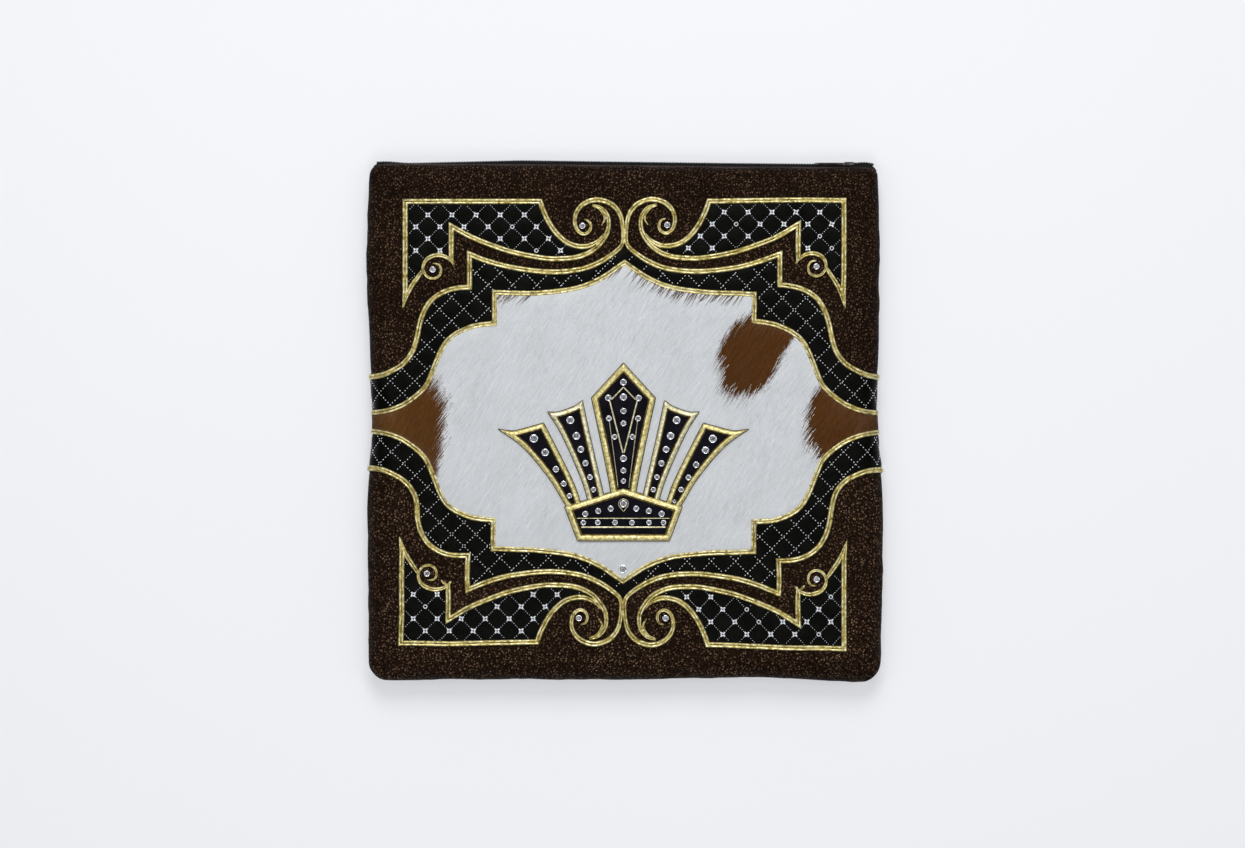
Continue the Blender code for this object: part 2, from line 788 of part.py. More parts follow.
def past_seams():
    """Loops round what lies past each side seam's margin, where nothing on the front reaches."""
    loops = []
    for side in (-1, 1):
        edge = rim_line(side, RIM_ARCS[-1] - SEAM_MARGIN)
        far = side * (SEAM + SEAM_PAST)
        loops.append(edge + [(far, edge[-1][1]), (far, edge[0][1])])
    return loops


def grid_spots():
    """Points spread over the flat of the front, so that wide plates follow its crown."""
    count = int(HALF_WIDTH // GRID)
    steps = [GRID * i for i in range(-count + 1, count)]
    return [(x, y) for x in steps for y in steps]


def mapped(quarter, loop):
    """A loop drawn for the upper left quarter, placed in another."""
    return [place(quarter, *point[:2]) for point in loop]


def band_outer_runs():
    """The outer line of a band: side curve, step up, sweep and volute."""
    step = (BAND_OUTER_SIDE[-1], BAND_OUTER_SWEEP[0])
    return BAND_OUTER_SIDE, step, BAND_OUTER_SWEEP


def band_inner_runs():
    """The inner line of a band: side curve, step up and sweep to the middle tip."""
    step = (BAND_INNER_SIDE[-1], BAND_INNER_SWEEP[0])
    return BAND_INNER_SIDE, step, BAND_INNER_SWEEP


def frame_strips(widen=0.0):
    """The closed outlines of a corner frame's trims."""
    left_strip = FRAME_STRIPS[1:3]
    tip = FRAME_STRIPS[2:]
    outline = (FRAME_CONCAVE, FRAME_STRIPS[:2], left_strip, tip)
    lines = (outline, (FRAME_TAIL,), (FRAME_CURL,), (FRAME_STEP, FRAME_SWEEP), (FRAME_COMMA,))
    return [strip(runs, widen) for runs in lines]


def centre_line(*runs):
    """The middle line of a trim, without its width."""
    line = []
    for rows in runs:
        line += [row[:2] for row in smooth(rows)]
    return line


def band_trims():
    """Gold lines along both edges of the upper and lower bands, each in one piece."""
    for name, left, right in (("top", "tl", "tr"), ("bottom", "bl", "br")):
        for line, runs in (("outer", band_outer_runs()), ("inner", band_inner_runs())):
            loops = [mapped(quarter, strip(runs)) for quarter in (left, right)]
            tip = joint_tip(name) if line == "inner" else ()
            area = region([*loops, *tip], past_seams(), rim_lines())
            plate(f"trim_{line}_{name}", area, GAP, TRIM_TOP, "gold_trim", GOLD)


def joint_tip(name, widen=0.0):
    """The mitred point where the two halves of an inner line meet on the middle line."""
    top = 1 if name == "top" else -1
    left, right = ("tl", "tr") if top > 0 else ("bl", "br")
    _, up, _ = BAND_INNER_SWEEP[-1]
    middle, _ = place(left, 0.0, up)
    half = TIP_HALF + widen / 2
    foot = up - TIP_REACH * TIP_SLOPE
    loop = [
        place(left, TIP_REACH, foot - half),
        (middle, MIDDLE[1] + top * (up - half)),
        place(right, TIP_REACH, foot - half),
        place(right, TIP_REACH, foot + half),
        (middle, MIDDLE[1] + top * (up + half)),
        place(left, TIP_REACH, foot + half),
    ]
    return [loop]


def bands():
    """The quilted black leather bands between their gold lines."""
    sweep = tuple(row for row in BAND_OUTER_SWEEP if row[1] < VOLUTE_FROM)
    outer = centre_line(BAND_OUTER_SIDE, sweep) + [(0.0, BAND_MIDDLE_UP)]
    inner = centre_line(BAND_INNER_SIDE, BAND_INNER_SWEEP)
    for name, left, right in (("top", "tl", "tr"), ("bottom", "bl", "br")):
        loop = mapped(left, outer) + mapped(right, outer[::-1])
        loop += mapped(right, inner) + mapped(left, inner[::-1])
        cut = [strip(band_outer_runs(), 2 * GAP), strip(band_inner_runs(), 2 * GAP)]
        outside = [mapped(quarter, c) for quarter in (left, right) for c in cut]
        outside += joint_tip(name, 2 * GAP) + past_seams()
        area = region([loop], outside, rim_lines(), grid_spots())
        plate(f"band_{name}", area, GAP, SHEET_TOP, "black_leather", BLACK_LEATHER)


def cowhide():
    """The hide between the two bands, out to both side seams."""
    inner = centre_line(BAND_INNER_SIDE, BAND_INNER_SWEEP)
    loop = mapped("tl", inner) + mapped("tr", inner[::-1])
    loop += mapped("br", inner) + mapped("bl", inner[::-1])
    outside = [mapped(quarter, strip(band_inner_runs(), 2 * GAP)) for quarter in QUARTERS]
    outside += joint_tip("top", 2 * GAP) + joint_tip("bottom", 2 * GAP) + past_seams()
    x, y, radius = BOTTOM_STONE
    outside.append(stone_corners(MIDDLE[0] + x, MIDDLE[1] + y, radius + GAP))
    area = region([loop], outside, rim_lines(), grid_spots())
    plate("cowhide_field", area, GAP, HIDE_TOP, "cowhide", HIDE)


def corners():
    """The corner panels with their gold frames."""
    loop = centre_line(FRAME_CONCAVE, FRAME_STRIPS[:2], FRAME_STRIPS[1:3], FRAME_STRIPS[2:])
    curl = FRAME_CURL[:CURL_ROUND]
    sweep = FRAME_SWEEP[:SWEEP_TO_VOLUTE]
    loop += centre_line(FRAME_TAIL) + centre_line(curl)[::-1]
    loop += [FRAME_STEP[0][:2]] + centre_line(sweep)
    for quarter in QUARTERS:
        area = region([mapped(quarter, s) for s in frame_strips()])
        plate(f"frame_{quarter}", area, GAP, TRIM_TOP, "gold_trim", GOLD)
        outside = [mapped(quarter, s) for s in frame_strips(2 * GAP)]
        panel = region([mapped(quarter, loop)], outside, spots=grid_spots())
        name = f"corner_panel_{quarter}"
        plate(name, panel, GAP, SHEET_TOP, "black_leather", BLACK_LEATHER)


def crown_point(side, out, up):
    """A point of the crown, on its left or right side."""
    return CROWN_X + side * out, MIDDLE[1] + up


def crown_stones(rows, sides):
    """The places and radii of the stones in these rows, on the given sides."""
    stones = []
    for out, up, radius in rows:
        for side in sides if out > 0 else sides[:1]:
            stones.append((*crown_point(side, out, up), radius))
    return stones


def crown():
    """Five rays rising from a base, each a black panel with a gold outline and set stones."""
    base = [crown_point(1, *p) for p in CROWN_BASE]
    base += [crown_point(-1, *p) for p in CROWN_BASE[:0:-1]]
    crown_piece("base", base, BASE_BAR, crown_stones(BASE_STONES, (-1, 1)), ())
    clear = [inset_loop(base, -GAP)]
    centre = [crown_point(1, *p) for p in CROWN_CENTRE]
    centre += [crown_point(-1, *p) for p in CROWN_CENTRE[:0:-1]]
    crown_piece("ray_3", centre, CROWN_BAR, crown_stones(CENTRE_STONES, (-1, 1)), clear)
    sides = ((-1, "ray_2", "ray_1", RAY_LEFT_STONES), (1, "ray_4", "ray_5", RAY_RIGHT_STONES))
    for side, inner, outer, outer_stones in sides:
        loop = [crown_point(side, *p) for p in CROWN_RAY_INNER]
        crown_piece(inner, loop, CROWN_BAR, crown_stones(RAY_INNER_STONES, (side,)), clear)
        loop = [crown_point(side, *p) for p in CROWN_RAY_OUTER]
        crown_piece(outer, loop, CROWN_BAR, crown_stones(outer_stones, (side,)), clear)


def crown_piece(name, loop, bar, stones, clear):
    """One panel of the crown in its gold outline."""
    cells = [stone_corners(*stone) for stone in stones]
    area = region([inset_loop(loop, bar + GAP)], clear, cells=cells)
    plate(f"crown_{name}", area, CROWN_LOW, CROWN_TOP, "crown_leather", BLACK_LEATHER, stones)
    area = region([loop], [inset_loop(loop, bar), *clear])
    plate(f"crown_{name}_outline", area, CROWN_LOW, CROWN_TRIM_TOP, "gold_trim", GOLD)


def loose_stone(name, x, y, radius):
    """A cut stone standing on the leather, with a girdle, eight facets and a table."""
    points, faces = [], []
    for share, height in LOOSE_STONE:
        for corner in stone_corners(x, y, radius * share):
            points.append(above_leather(*corner, height))
    last = (len(LOOSE_STONE) - 1) * STONE_SIDES
    for level in range(0, last, STONE_SIDES):
        bridge(faces, level, level + STONE_SIDES, STONE_SIDES)
    faces.append(tuple(range(STONE_SIDES))[::-1])
    faces.append(tuple(range(last, last + STONE_SIDES)))
    add_object(name, points, faces, "crystal", CRYSTAL)


def loose_stones():
    """The stones in the eyes of the scrolls and the one at the bottom of the hide."""
    for quarter in QUARTERS:
        for kind, eye, radius in EYE_STONES:
            loose_stone(f"stone_{kind}_{quarter}", *place(quarter, *eye), radius)
    x, y, radius = BOTTOM_STONE
    loose_stone("stone_bottom", MIDDLE[0] + x, MIDDLE[1] + y, radius)


def top_edge(x, index):
    """The height of the leather's or the zip's top edge at x."""
    return HALF_HEIGHT - np.interp(x, column(TOP_EDGES, 0), column(TOP_EDGES, index))


def sweep_across(name, stations, section, look_name, look):
    """A solid whose closed section changes along x."""
    points, faces = [], []
    for x in stations:
        loop = section(x)
        points += [(x, y, z) for y, z in loop]
    count = len(loop)
    for i in range(len(stations) - 1):
        bridge(faces, i * count, (i + 1) * count, count)
    faces.append(tuple(range(count))[::-1])
    faces.append(tuple(range(len(points) - count, len(points))))
    return add_object(name, points, faces, look_name, look)


def tape_section(x):
    """The tape's section: it bulges out between the leather's lips."""
    middle = top_edge(x, 1) - TAPE_TUCK
    half = TAPE_SHARE * mouth(x)
    bulge = top_edge(x, 2) - TEETH_OUT - GAP - middle
    turns = [math.radians(a) for a in TAPE_TURNS]
    outer = [(middle + bulge * math.cos(a), SEAM_Z + half * math.sin(a)) for a in turns]
    inner = []
    for a in turns[::-1]:
        y = middle + (bulge - TAPE) * math.cos(a)
        inner.append((y, SEAM_Z + (half - TAPE) * math.sin(a)))
    return outer + inner


def teeth_section(x):
    """The closed teeth's section, a flat bar standing on the tape."""
    outer = top_edge(x, 2)
    inner = outer - TEETH_OUT
    low, high = SEAM_Z - TEETH_HALF, SEAM_Z + TEETH_HALF
    return [(inner, low), (outer, low), (outer, high), (inner, high)]


def zip_fastener():
    """The tape between the lips, the closed teeth along it and the slider at its right end."""
    stations = mirrored((*TOP_STATIONS, ZIP_END - ZIP_TAPER, ZIP_END), 1)
    sweep_across("zip_tape", stations, tape_section, "zip_tape", BLACK_TAPE)
    sweep_across("zip_teeth", stations, teeth_section, "zip_teeth", BLACK_TAPE)
    outline = [*SLIDER_OUTLINE, *((along, -half) for along, half in SLIDER_OUTLINE[::-1])]
    inner = top_edge(SLIDER_X + SLIDER_OUTLINE[0][0], 2) + SLIDER_CLEAR
    outer = inner + SLIDER_THICK
    count = len(outline)
    points = [(SLIDER_X + along, inner, SEAM_Z + z) for along, z in outline]
    points += [(SLIDER_X + along, outer, SEAM_Z + z) for along, z in outline]
    faces = []
    bridge(faces, count, 0, count)
    faces.append(tuple(range(count)))
    faces.append(tuple(range(count, 2 * count))[::-1])
    add_object("zip_slider", points, faces, "dark_metal", DARK_METAL)


def build():
    """The whole bag."""
    for old in list(bpy.data.objects):
        bpy.data.objects.remove(old, do_unlink=True)
    shell("back_panel", False)
    shell("front_panel", True)
    zip_fastener()
    cowhide()
    bands()
    band_trims()
    corners()
    crown()
    loose_stones()


build()
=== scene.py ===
"""The looks of a dark leather tallit bag that lies on its back, seen from straight above.

Each piece is built on the same leather surface as the solids, at a finer scale. Sizes are in
millimetres until a mesh is made. +X is the bag's right, +Y its zip edge, +Z out of its front.
"""

import math

import bpy
import numpy as np
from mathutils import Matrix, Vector
from mathutils.geometry import delaunay_2d_cdt

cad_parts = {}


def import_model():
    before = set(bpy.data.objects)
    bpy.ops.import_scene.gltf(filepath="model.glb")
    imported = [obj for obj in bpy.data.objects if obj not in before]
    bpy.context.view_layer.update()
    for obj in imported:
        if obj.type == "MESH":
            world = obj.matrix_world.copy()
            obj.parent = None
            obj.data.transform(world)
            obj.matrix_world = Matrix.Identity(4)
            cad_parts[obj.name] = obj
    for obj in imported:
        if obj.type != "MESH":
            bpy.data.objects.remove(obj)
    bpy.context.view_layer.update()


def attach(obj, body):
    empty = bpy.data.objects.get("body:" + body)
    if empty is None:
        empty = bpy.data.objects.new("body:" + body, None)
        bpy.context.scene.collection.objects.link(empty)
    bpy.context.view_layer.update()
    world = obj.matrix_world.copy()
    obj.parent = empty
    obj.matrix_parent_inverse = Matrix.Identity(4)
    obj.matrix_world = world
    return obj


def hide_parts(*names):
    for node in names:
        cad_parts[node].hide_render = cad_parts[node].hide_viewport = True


MM = 0.001
SEED = 7
PEBBLE = 1.75

# The photograph's frame: its size, the millimetres in one pixel and the camera's place.
PHOTO_WIDTH = 1245
SENSOR_WIDTH = 36.0
MM_PER_PIXEL = 0.705
CAMERA_MM = (-1.76, -2.1, 2615.0)
FOCUS_MM = 2600.0

# The studio: the floor, each lamp's name, place, size and power, and the sky's light by its height
FLOOR_HALF = 5.0
FLOOR_PALE = (0.46, 0.465, 0.48)
FLOOR_DARKER = (0.455, 0.46, 0.475)
LAMP_TARGET = (0.0, 0.0, 0.02)
LAMPS = (
    ("key", (0.0, 1.3, 1.75), 1.0, 28.0),
    ("near", (0.0, -0.8, 2.0), 0.7, 10.0),
    ("left", (-1.0, 0.15, 1.95), 0.7, 5.5),
    ("right", (1.0, 0.15, 1.95), 0.7, 5.5),
)
SKY = ((0.0, 0.55), (0.25, 0.95), (0.5, 1.1), (0.7, 0.8), (0.86, 0.13), (1.0, 0.07))
SKY_TINT = (1.0, 1.005, 1.03)
SKY_STRENGTH = 0.3

# Colours shared by several calls
BLACK = (0.0008, 0.0008, 0.0004)
CROWN_BLACK = (0.0022, 0.0018, 0.0036)
# Each crown gold's tones run from painted shade to painted highlight; shaded_gold is the painted shade
# along the bars' inner edges
CROWN_GOLDS = {
    "warm_gold": ((0.27, 0.2, 0.05), (0.66, 0.57, 0.23), (0.96, 0.9, 0.54)),
    "pale_gold": ((0.32, 0.27, 0.11), (0.7, 0.66, 0.4), (0.97, 0.94, 0.74)),
    "shaded_gold": ((0.07, 0.047, 0.01), (0.2, 0.145, 0.035), (0.4, 0.32, 0.12)),
}

# The bag
HALF_WIDTH = 182.0
HALF_HEIGHT = 184.0
SEAM_Z = 15.0
FRONT_RISE = 15.0
FRONT_CROWN = 4.0
RIM = 16.0
WALL = 2.4
GAP = 0.3
PLATEAU_CORNER = 30.0
CORNERS = ((1, 1, 4.0), (-1, 1, 8.0), (-1, -1, 12.0), (1, -1, 14.0))
RIM_RINGS = 16
FLAT_RINGS = 22
CORNER_STEPS = 12
STATION_STEP = 5.0
SEAM_GROOVE = 0.8
GROOVE_DEPTH = 1.1

# The leather's soft dents: depth, size, slant and seed
DENTS = ((0.45, 16.0, 1, 11), (0.25, 7.0, -1, 16))

# The zip's mouth, tape, teeth and slider
MOUTH = 4.5
MOUTH_END = 181.0
MOUTH_POWER = 24
ZIP_END = 174.0
TAPE = 1.2
TAPE_TUCK = 2.0
TAPE_SHARE = 0.8
TEETH_OUT = 1.0
SLIDER_X = 158.0

# Heights above the leather
SHEET_LOW = 0.8 * GAP
SHEET_TOP = 1.0
TRIM_HEIGHT = 1.8
HIDE_TOP = 1.1
CROWN_LOW = 2.1
CROWN_PANEL = 1.0
CROWN_BAR_HEIGHT = 2.1

# The middle of the decoration and of the crown
MIDDLE = (-0.3, -0.6)
CROWN_X = -1.1

# How far the side edges lie in from the half width: height, left, right.
SIDE_EDGES = (
    (-184.0, 1.4, 2.0),
    (-125.0, 1.1, 0.3),
    (-60.0, 0.0, 0.0),
    (-40.0, 1.2, 1.0),
    (-20.0, 4.1, 3.8),
    (0.0, 5.2, 5.2),
    (20.0, 4.1, 5.5),
    (40.0, 2.4, 3.4),
    (60.0, 1.8, 2.8),
    (95.0, 0.0, 2.8),
    (125.0, 0.0, 2.1),
    (184.0, 1.5, 4.0),
)

# How far the top edges lie in from the half height: across, leather, zip teeth.
TOP_EDGES = (
    (-180.0, 2.4, 1.4),
    (-169.0, 3.5, 0.5),
    (-154.0, 3.6, 1.9),
    (-74.0, 3.9, 0.0),
    (0.0, 4.6, 1.0),
    (70.0, 5.6, 1.9),
    (148.0, 6.0, 2.6),
    (160.0, 6.1, 2.0),
    (169.0, 6.2, 0.9),
    (178.0, 6.4, 3.0),
)

# How far the bottom edge lies in from the half height: across, inset.
BOTTOM_EDGE = (
    (-165.0, 1.4),
    (-100.0, 1.9),
    (0.0, 1.6),
    (90.0, 3.5),
    (130.0, 1.4),
    (160.0, 0.0),
)

# The decoration is drawn for the upper left quarter: out from the middle line, up from the
# middle, width of the trim. Past the flat of the front, out is measured along the leather.
SEAM = 192.0
BAND_OUTER_SIDE = (
    (SEAM, 31.2, 3.8),
    (172.0, 32.4, 3.8),
    (160.7, 36.9, 3.8),
    (153.7, 42.0, 3.8),
    (148.4, 49.7, 3.8),
    (145.5, 58.6, 3.8),
    (143.4, 68.8, 3.8),
    (140.6, 77.0, 3.8),
    (136.0, 84.4, 3.8),
    (130.0, 89.2, 3.8),
    (122.9, 92.4, 3.8),
    (115.9, 93.8, 3.8),
    (108.6, 94.2, 3.8),
)
BAND_OUTER_SWEEP = (
    (108.6, 117.4, 3.8),
    (96.3, 112.6, 3.8),
    (76.7, 107.7, 3.8),
    (52.2, 104.9, 3.8),
    (31.2, 106.7, 3.8),
    (17.2, 111.9, 3.8),
    (6.0, 119.4, 3.4),
    (1.5, 125.2, 2.9),
    (1.3, 135.7, 2.9),
    (3.2, 145.1, 3.4),
    (8.6, 152.0, 3.8),
    (16.9, 155.3, 3.8),
    (24.2, 154.7, 3.8),
    (30.5, 151.1, 3.6),
    (34.2, 145.5, 3.2),
    (34.8, 139.2, 3.0),
    (32.8, 133.9, 2.8),
    (28.8, 131.4, 2.5),
    (24.9, 133.2, 2.3),
    (23.6, 137.0, 2.1),
    (25.1, 140.5, 1.7),
    (28.4, 141.9, 0.9),
)
BAND_INNER_SIDE = (
    (SEAM, 6.4, 3.6),
    (170.0, 7.2, 3.6),
    (157.6, 10.8, 3.8),
    (149.9, 15.3, 3.8),
    (142.9, 21.0, 3.8),
    (137.8, 27.4, 3.8),
    (132.1, 41.5, 3.8),
    (128.6, 49.7, 3.8),
    (123.8, 57.0, 3.8),
    (116.8, 62.4, 3.8),
    (107.0, 66.6, 3.8),
    (99.0, 68.1, 3.8),
    (91.0, 68.7, 3.8),
)
BAND_INNER_SWEEP = (
    (91.0, 90.6, 3.8),
    (73.2, 90.0, 3.8),
    (58.0, 90.3, 3.8),
    (34.7, 93.3, 3.8),
    (17.2, 100.0, 3.8),
    (0.0, 111.5, 3.8),
)
BAND_MIDDLE_UP = 123.8
VOLUTE_FROM = 122.0
FRAME_CONCAVE = (
    (14.6, 131.5, 0.8),
    (18.3, 126.9, 2.4),
    (24.2, 123.5, 3.6),
    (30.3, 122.7, 3.8),
    (37.0, 124.0, 3.8),
    (42.8, 127.3, 3.8),
    (48.4, 132.9, 3.8),
    (52.9, 139.5, 3.8),
    (56.8, 147.6, 3.8),
    (59.2, 154.4, 3.8),
)
FRAME_STRIPS = (
    (59.2, 154.4, 3.8),
    (153.7, 154.4, 3.8),
    (153.7, 92.0, 3.8),
    (155.4, 79.6, 0.6),
)
FRAME_TAIL = (
    (155.4, 79.6, 0.6),
    (152.4, 88.4, 2.6),
    (149.5, 94.6, 3.4),
    (145.0, 101.0, 3.2),
    (141.4, 106.0, 2.4),
)
FRAME_CURL = (
    (119.0, 110.1, 0.8),
    (124.3, 115.0, 2.6),
    (130.6, 116.8, 3.2),
    (136.9, 115.0, 3.2),
    (140.4, 111.2, 2.6),
    (141.1, 106.3, 2.0),
    (138.3, 101.7, 2.0),
    (133.8, 100.3, 2.0),
    (129.6, 102.4, 1.9),
    (128.5, 107.0, 1.7),
    (130.6, 110.4, 1.4),
    (134.4, 111.0, 0.8),
)
FRAME_STEP = (
    (120.0, 109.8, 0.8),
    (121.1, 113.8, 2.8),
    (121.4, 118.0, 3.8),
    (121.4, 137.0, 3.8),
)
FRAME_SWEEP = (
    (121.4, 137.0, 3.8),
    (108.2, 129.9, 3.8),
    (96.3, 124.9, 3.8),
    (78.5, 118.9, 3.8),
    (57.1, 114.7, 3.8),
    (45.2, 114.2, 3.8),
    (31.9, 115.7, 3.8),
    (20.4, 121.3, 3.6),
    (12.9, 131.0, 3.6),
    (11.1, 138.5, 3.2),
    (12.2, 145.0, 2.8),
    (16.6, 150.0, 2.4),
    (22.6, 151.8, 1.6),
)
FRAME_COMMA = (
    (22.6, 151.4, 1.2),
    (17.6, 149.2, 1.8),
    (14.4, 144.8, 1.8),
    (14.0, 141.3, 1.4),
    (16.3, 137.5, 0.7),
)
FRAME_SPUR = (
    (126.0, 109.6, 0.8),
    (124.4, 111.2, 1.7),
    (122.2, 112.4, 1.7),
)
FRAME_OUTLINE = (FRAME_CONCAVE, FRAME_STRIPS[:2], FRAME_STRIPS[1:3], FRAME_STRIPS[2:])
CURL_ROUND = 5
SWEEP_TO_VOLUTE = 8
VOLUTE_EYE = (29.5, 137.2)
CURL_EYE = (134.4, 106.6)
EYE_RADIUS = 2.2

# Where the hand-cut corners depart from the upper left ones. Each row is a place out and up, and
# how far further out and up it lies in the upper right, lower left and lower right quarters.
HAND_DRIFT = (
    (155.6, 156.5, -0.1, 0.7, 3.1, 0.6, 0.1, 4.6),
    (155.3, 79.8, -0.8, -0.1, 2.4, 0.8, 0.2, 3.9),
    (57.8, 157.0, -0.1, 0.1, 2.2, -0.2, -1.0, 1.7),
    (121.4, 139.5, 0.4, 1.4, 2.3, 1.7, 0.4, 4.8),
    (121.4, 110.1, 0.4, 0.8, 2.3, 1.8, 0.4, 5.5),
    (108.6, 120.3, 0.1, 0.0, 1.1, 0.2, -0.8, 2.8),
    (108.6, 93.0, 0.1, 1.7, 1.1, -0.5, -0.8, 3.2),
    (91.0, 93.0, -0.4, -1.4, 0.8, -1.9, -0.7, 0.1),
    (91.0, 66.8, -0.4, 1.7, 0.8, 0.0, -0.7, 1.2),
    (29.5, 137.2, 0.4, 0.6, 2.5, 0.2, -0.8, 0.2),
    (134.1, 107.1, -0.1, 2.2, 4.0, -0.3, 0.1, 3.7),
    (148.4, 49.7, -0.4, 0.0, -0.9, 0.4, -0.4, 0.0),
    (SEAM, 31.7, 0.0, -0.2, 0.0, 1.3, 0.0, 2.6),
    (SEAM, 6.4, 0.0, -0.5, 0.0, 0.0, 0.0, 0.4),
    (0.0, 123.8, 0.0, 0.0, 1.2, 0.0, -1.2, 0.0),
    (0.0, 111.5, 0.0, 0.0, 1.2, 0.0, -1.2, 0.0),
)
DRIFT_SOFTNESS = 0.05

# A quarter's side, its half and its first column in the table above. Each band has two quarters.
QUARTERS = {"tl": (-1, 1, None), "tr": (1, 1, 2), "bl": (-1, -1, 4), "br": (1, -1, 6)}
BANDS = (("top", "tl", "tr"), ("bottom", "bl", "br"))
BAND_REACH = 60
BAND_STATIONS = 25

# The quilting: a crossing's place across and up, half the pitch across and up.
CORNER_LATTICE = {
    "tl": (-138.1, 144.3, 8.45, 8.33),
    "tr": (86.2, 146.2, 8.37, 8.40),
    "bl": (-148.3, -121.5, 8.40, 8.50),
    "br": (43.2, -123.2, 8.41, 8.75),
}
BAND_LATTICE = {
    "tl": (-155.8, 19.6, 8.57, 8.40),
    "tr": (101.8, 77.7, 8.35, 8.43),
    "bl": (-163.7, -21.5, 8.47, 8.26),
    "br": (102.5, -89.6, 8.43, 8.50),
}
QUILT_STEPS = 6
QUILT_PUFF = 0.7
CORNER_PUFF = 0.49
GRID_REACH = 400.0
STITCH_REACH = 420.0
QUILT_EDGE = 4.0
QUILT_LOW = 0.45

# How far these keep from a panel's edge, and stitches and hairs from the side seams
GRID_CLEAR = 1.0
STITCH_CLEAR = 2.5
CROSSING_CLEAR = 2.7
ROOT_CLEAR = 0.4
TIP_CLEAR = 1.7
TRIM_SEAM_CLEAR = 1.0
SHEET_SEAM_CLEAR = 1.2
SEAM_CLEAR = 2.0

# Stitches on the bands and on the corner panels: pitch, and half length, half width and height
STITCH_PITCH = 2.43
SMALL_PITCH = 1.75
STITCH = (0.5, 0.38, 0.3)
SMALL_STITCH = (0.36, 0.25, 0.22)

# The crown's outlines: out from its middle line, up from the decoration's middle. Each run is
# smooth, and the runs meet at corners.
MIDDLE_BAR = 4.9
INNER_BAR = 4.0
OUTER_BAR = 4.1
BASE_BAR = 4.9
CROWN_CENTRE = (
    ((0.0, 41.3), (22.5, 16.7)),
    ((22.5, 16.7), (17.6, -5.7), (10.6, -39.5), (8.6, -52.0)),
)
CROWN_RAY_INNER = (
    ((53.1, 7.1), (47.0, 6.9), (40.9, 8.5), (34.0, 11.3), (28.6, 15.0)),
    ((28.6, 15.0), (23.9, -6.9), (16.4, -39.5), (12.5, -56.0)),
    ((12.5, -56.0), (23.5, -60.0)),
    ((23.5, -60.0), (29.8, -39.5), (43.2, -9.2), (53.1, 7.1)),
)
CROWN_RAY_OUTER = (
    ((87.9, -4.9), (78.8, -6.2), (72.9, -5.4), (55.7, -0.7)),
    ((55.7, -0.7), (36.2, -39.5), (29.0, -59.0)),
    ((29.0, -59.0), (36.0, -62.0)),
    ((36.0, -62.0), (40.9, -57.6), (52.0, -39.5), (70.1, -18.0), (87.9, -4.9)),
)
CROWN_BASE = ((0.0, -46.3), (41.3, -59.3), (32.2, -83.3))
BASE_SLOPE = (59.3 - 46.3) / 41.3

# The crown's stones: out, up, radius. The last table says on which sides of its middle line each
# table's stones stand. Those on the middle line stand there once.
RAY_INNER_STONES = (
    (37.1, 1.2, 2.8),
    (32.9, -9.8, 2.7),
    (29.8, -19.2, 2.4),
    (26.5, -28.9, 2.2),
    (23.4, -38.6, 2.0),
    (20.9, -47.3, 1.9),
)
RAY_LEFT_STONES = (
    (62.6, -11.6, 3.0),
    (54.7, -21.4, 2.7),
    (47.2, -33.1, 2.3),
    (41.8, -43.2, 2.1),
    (37.7, -51.6, 1.9),
)
RAY_RIGHT_STONES = (
    (62.4, -11.9, 2.9),
    (57.3, -19.8, 2.6),
    (50.8, -30.0, 2.3),
    (45.4, -38.9, 2.1),
    (40.3, -47.3, 2.0),
    (35.6, -55.6, 1.4),
)
CENTRE_STONES = (
    (0.0, 27.6, 2.4),
    (0.0, 17.3, 2.6),
    (0.0, 7.6, 2.2),
    (0.0, -1.1, 2.1),
    (10.6, 16.7, 2.3),
    (10.2, 2.4, 2.1),
    (6.2, -10.5, 2.0),
    (0.0, -25.6, 2.5),
    (0.0, -34.0, 2.1),
    (0.0, -41.3, 1.9),
)
BASE_STONES = (
    (0.0, -57.3, 2.6),
    (8.9, -60.6, 2.1),
    (17.7, -62.2, 2.1),
    (26.7, -64.3, 2.2),
    (5.9, -70.3, 2.0),
    (17.9, -70.3, 2.0),
    (28.0, -70.4, 2.0),
)
CROWN_STONES = (
    (RAY_INNER_STONES, (-1, 1)),
    (RAY_LEFT_STONES, (-1,)),
    (RAY_RIGHT_STONES, (1,)),
    (CENTRE_STONES, (-1, 1)),
    (BASE_STONES, (-1, 1)),
)
BOTTOM_STONE = (-1.2, -103.0, 3.1)

# The fine gold lines on the crown: out and up at each end, and width.
CROWN_LINES = (
    ((0.0, 24.3), (8.4, 15.6), 1.0),
    ((9.9, 15.6), (0.4, -21.7), 1.2),
    ((9.9, 1.0), (4.6, -39.0), 0.5),
    ((4.6, -39.0), (3.8, -46.0), 0.5),
)
BASE_LINES = (((32.6, -67.4), 0.6), ((29.6, -73.6), 1.2))
DROP_RADIUS = 3.4
DROP_POINT = 5.4
DROP_WIDTH = 0.55
RIBBON = ((-1, 0), (-0.7, 0.35), (0, 0.5), (0.7, 0.35), (1, 0))

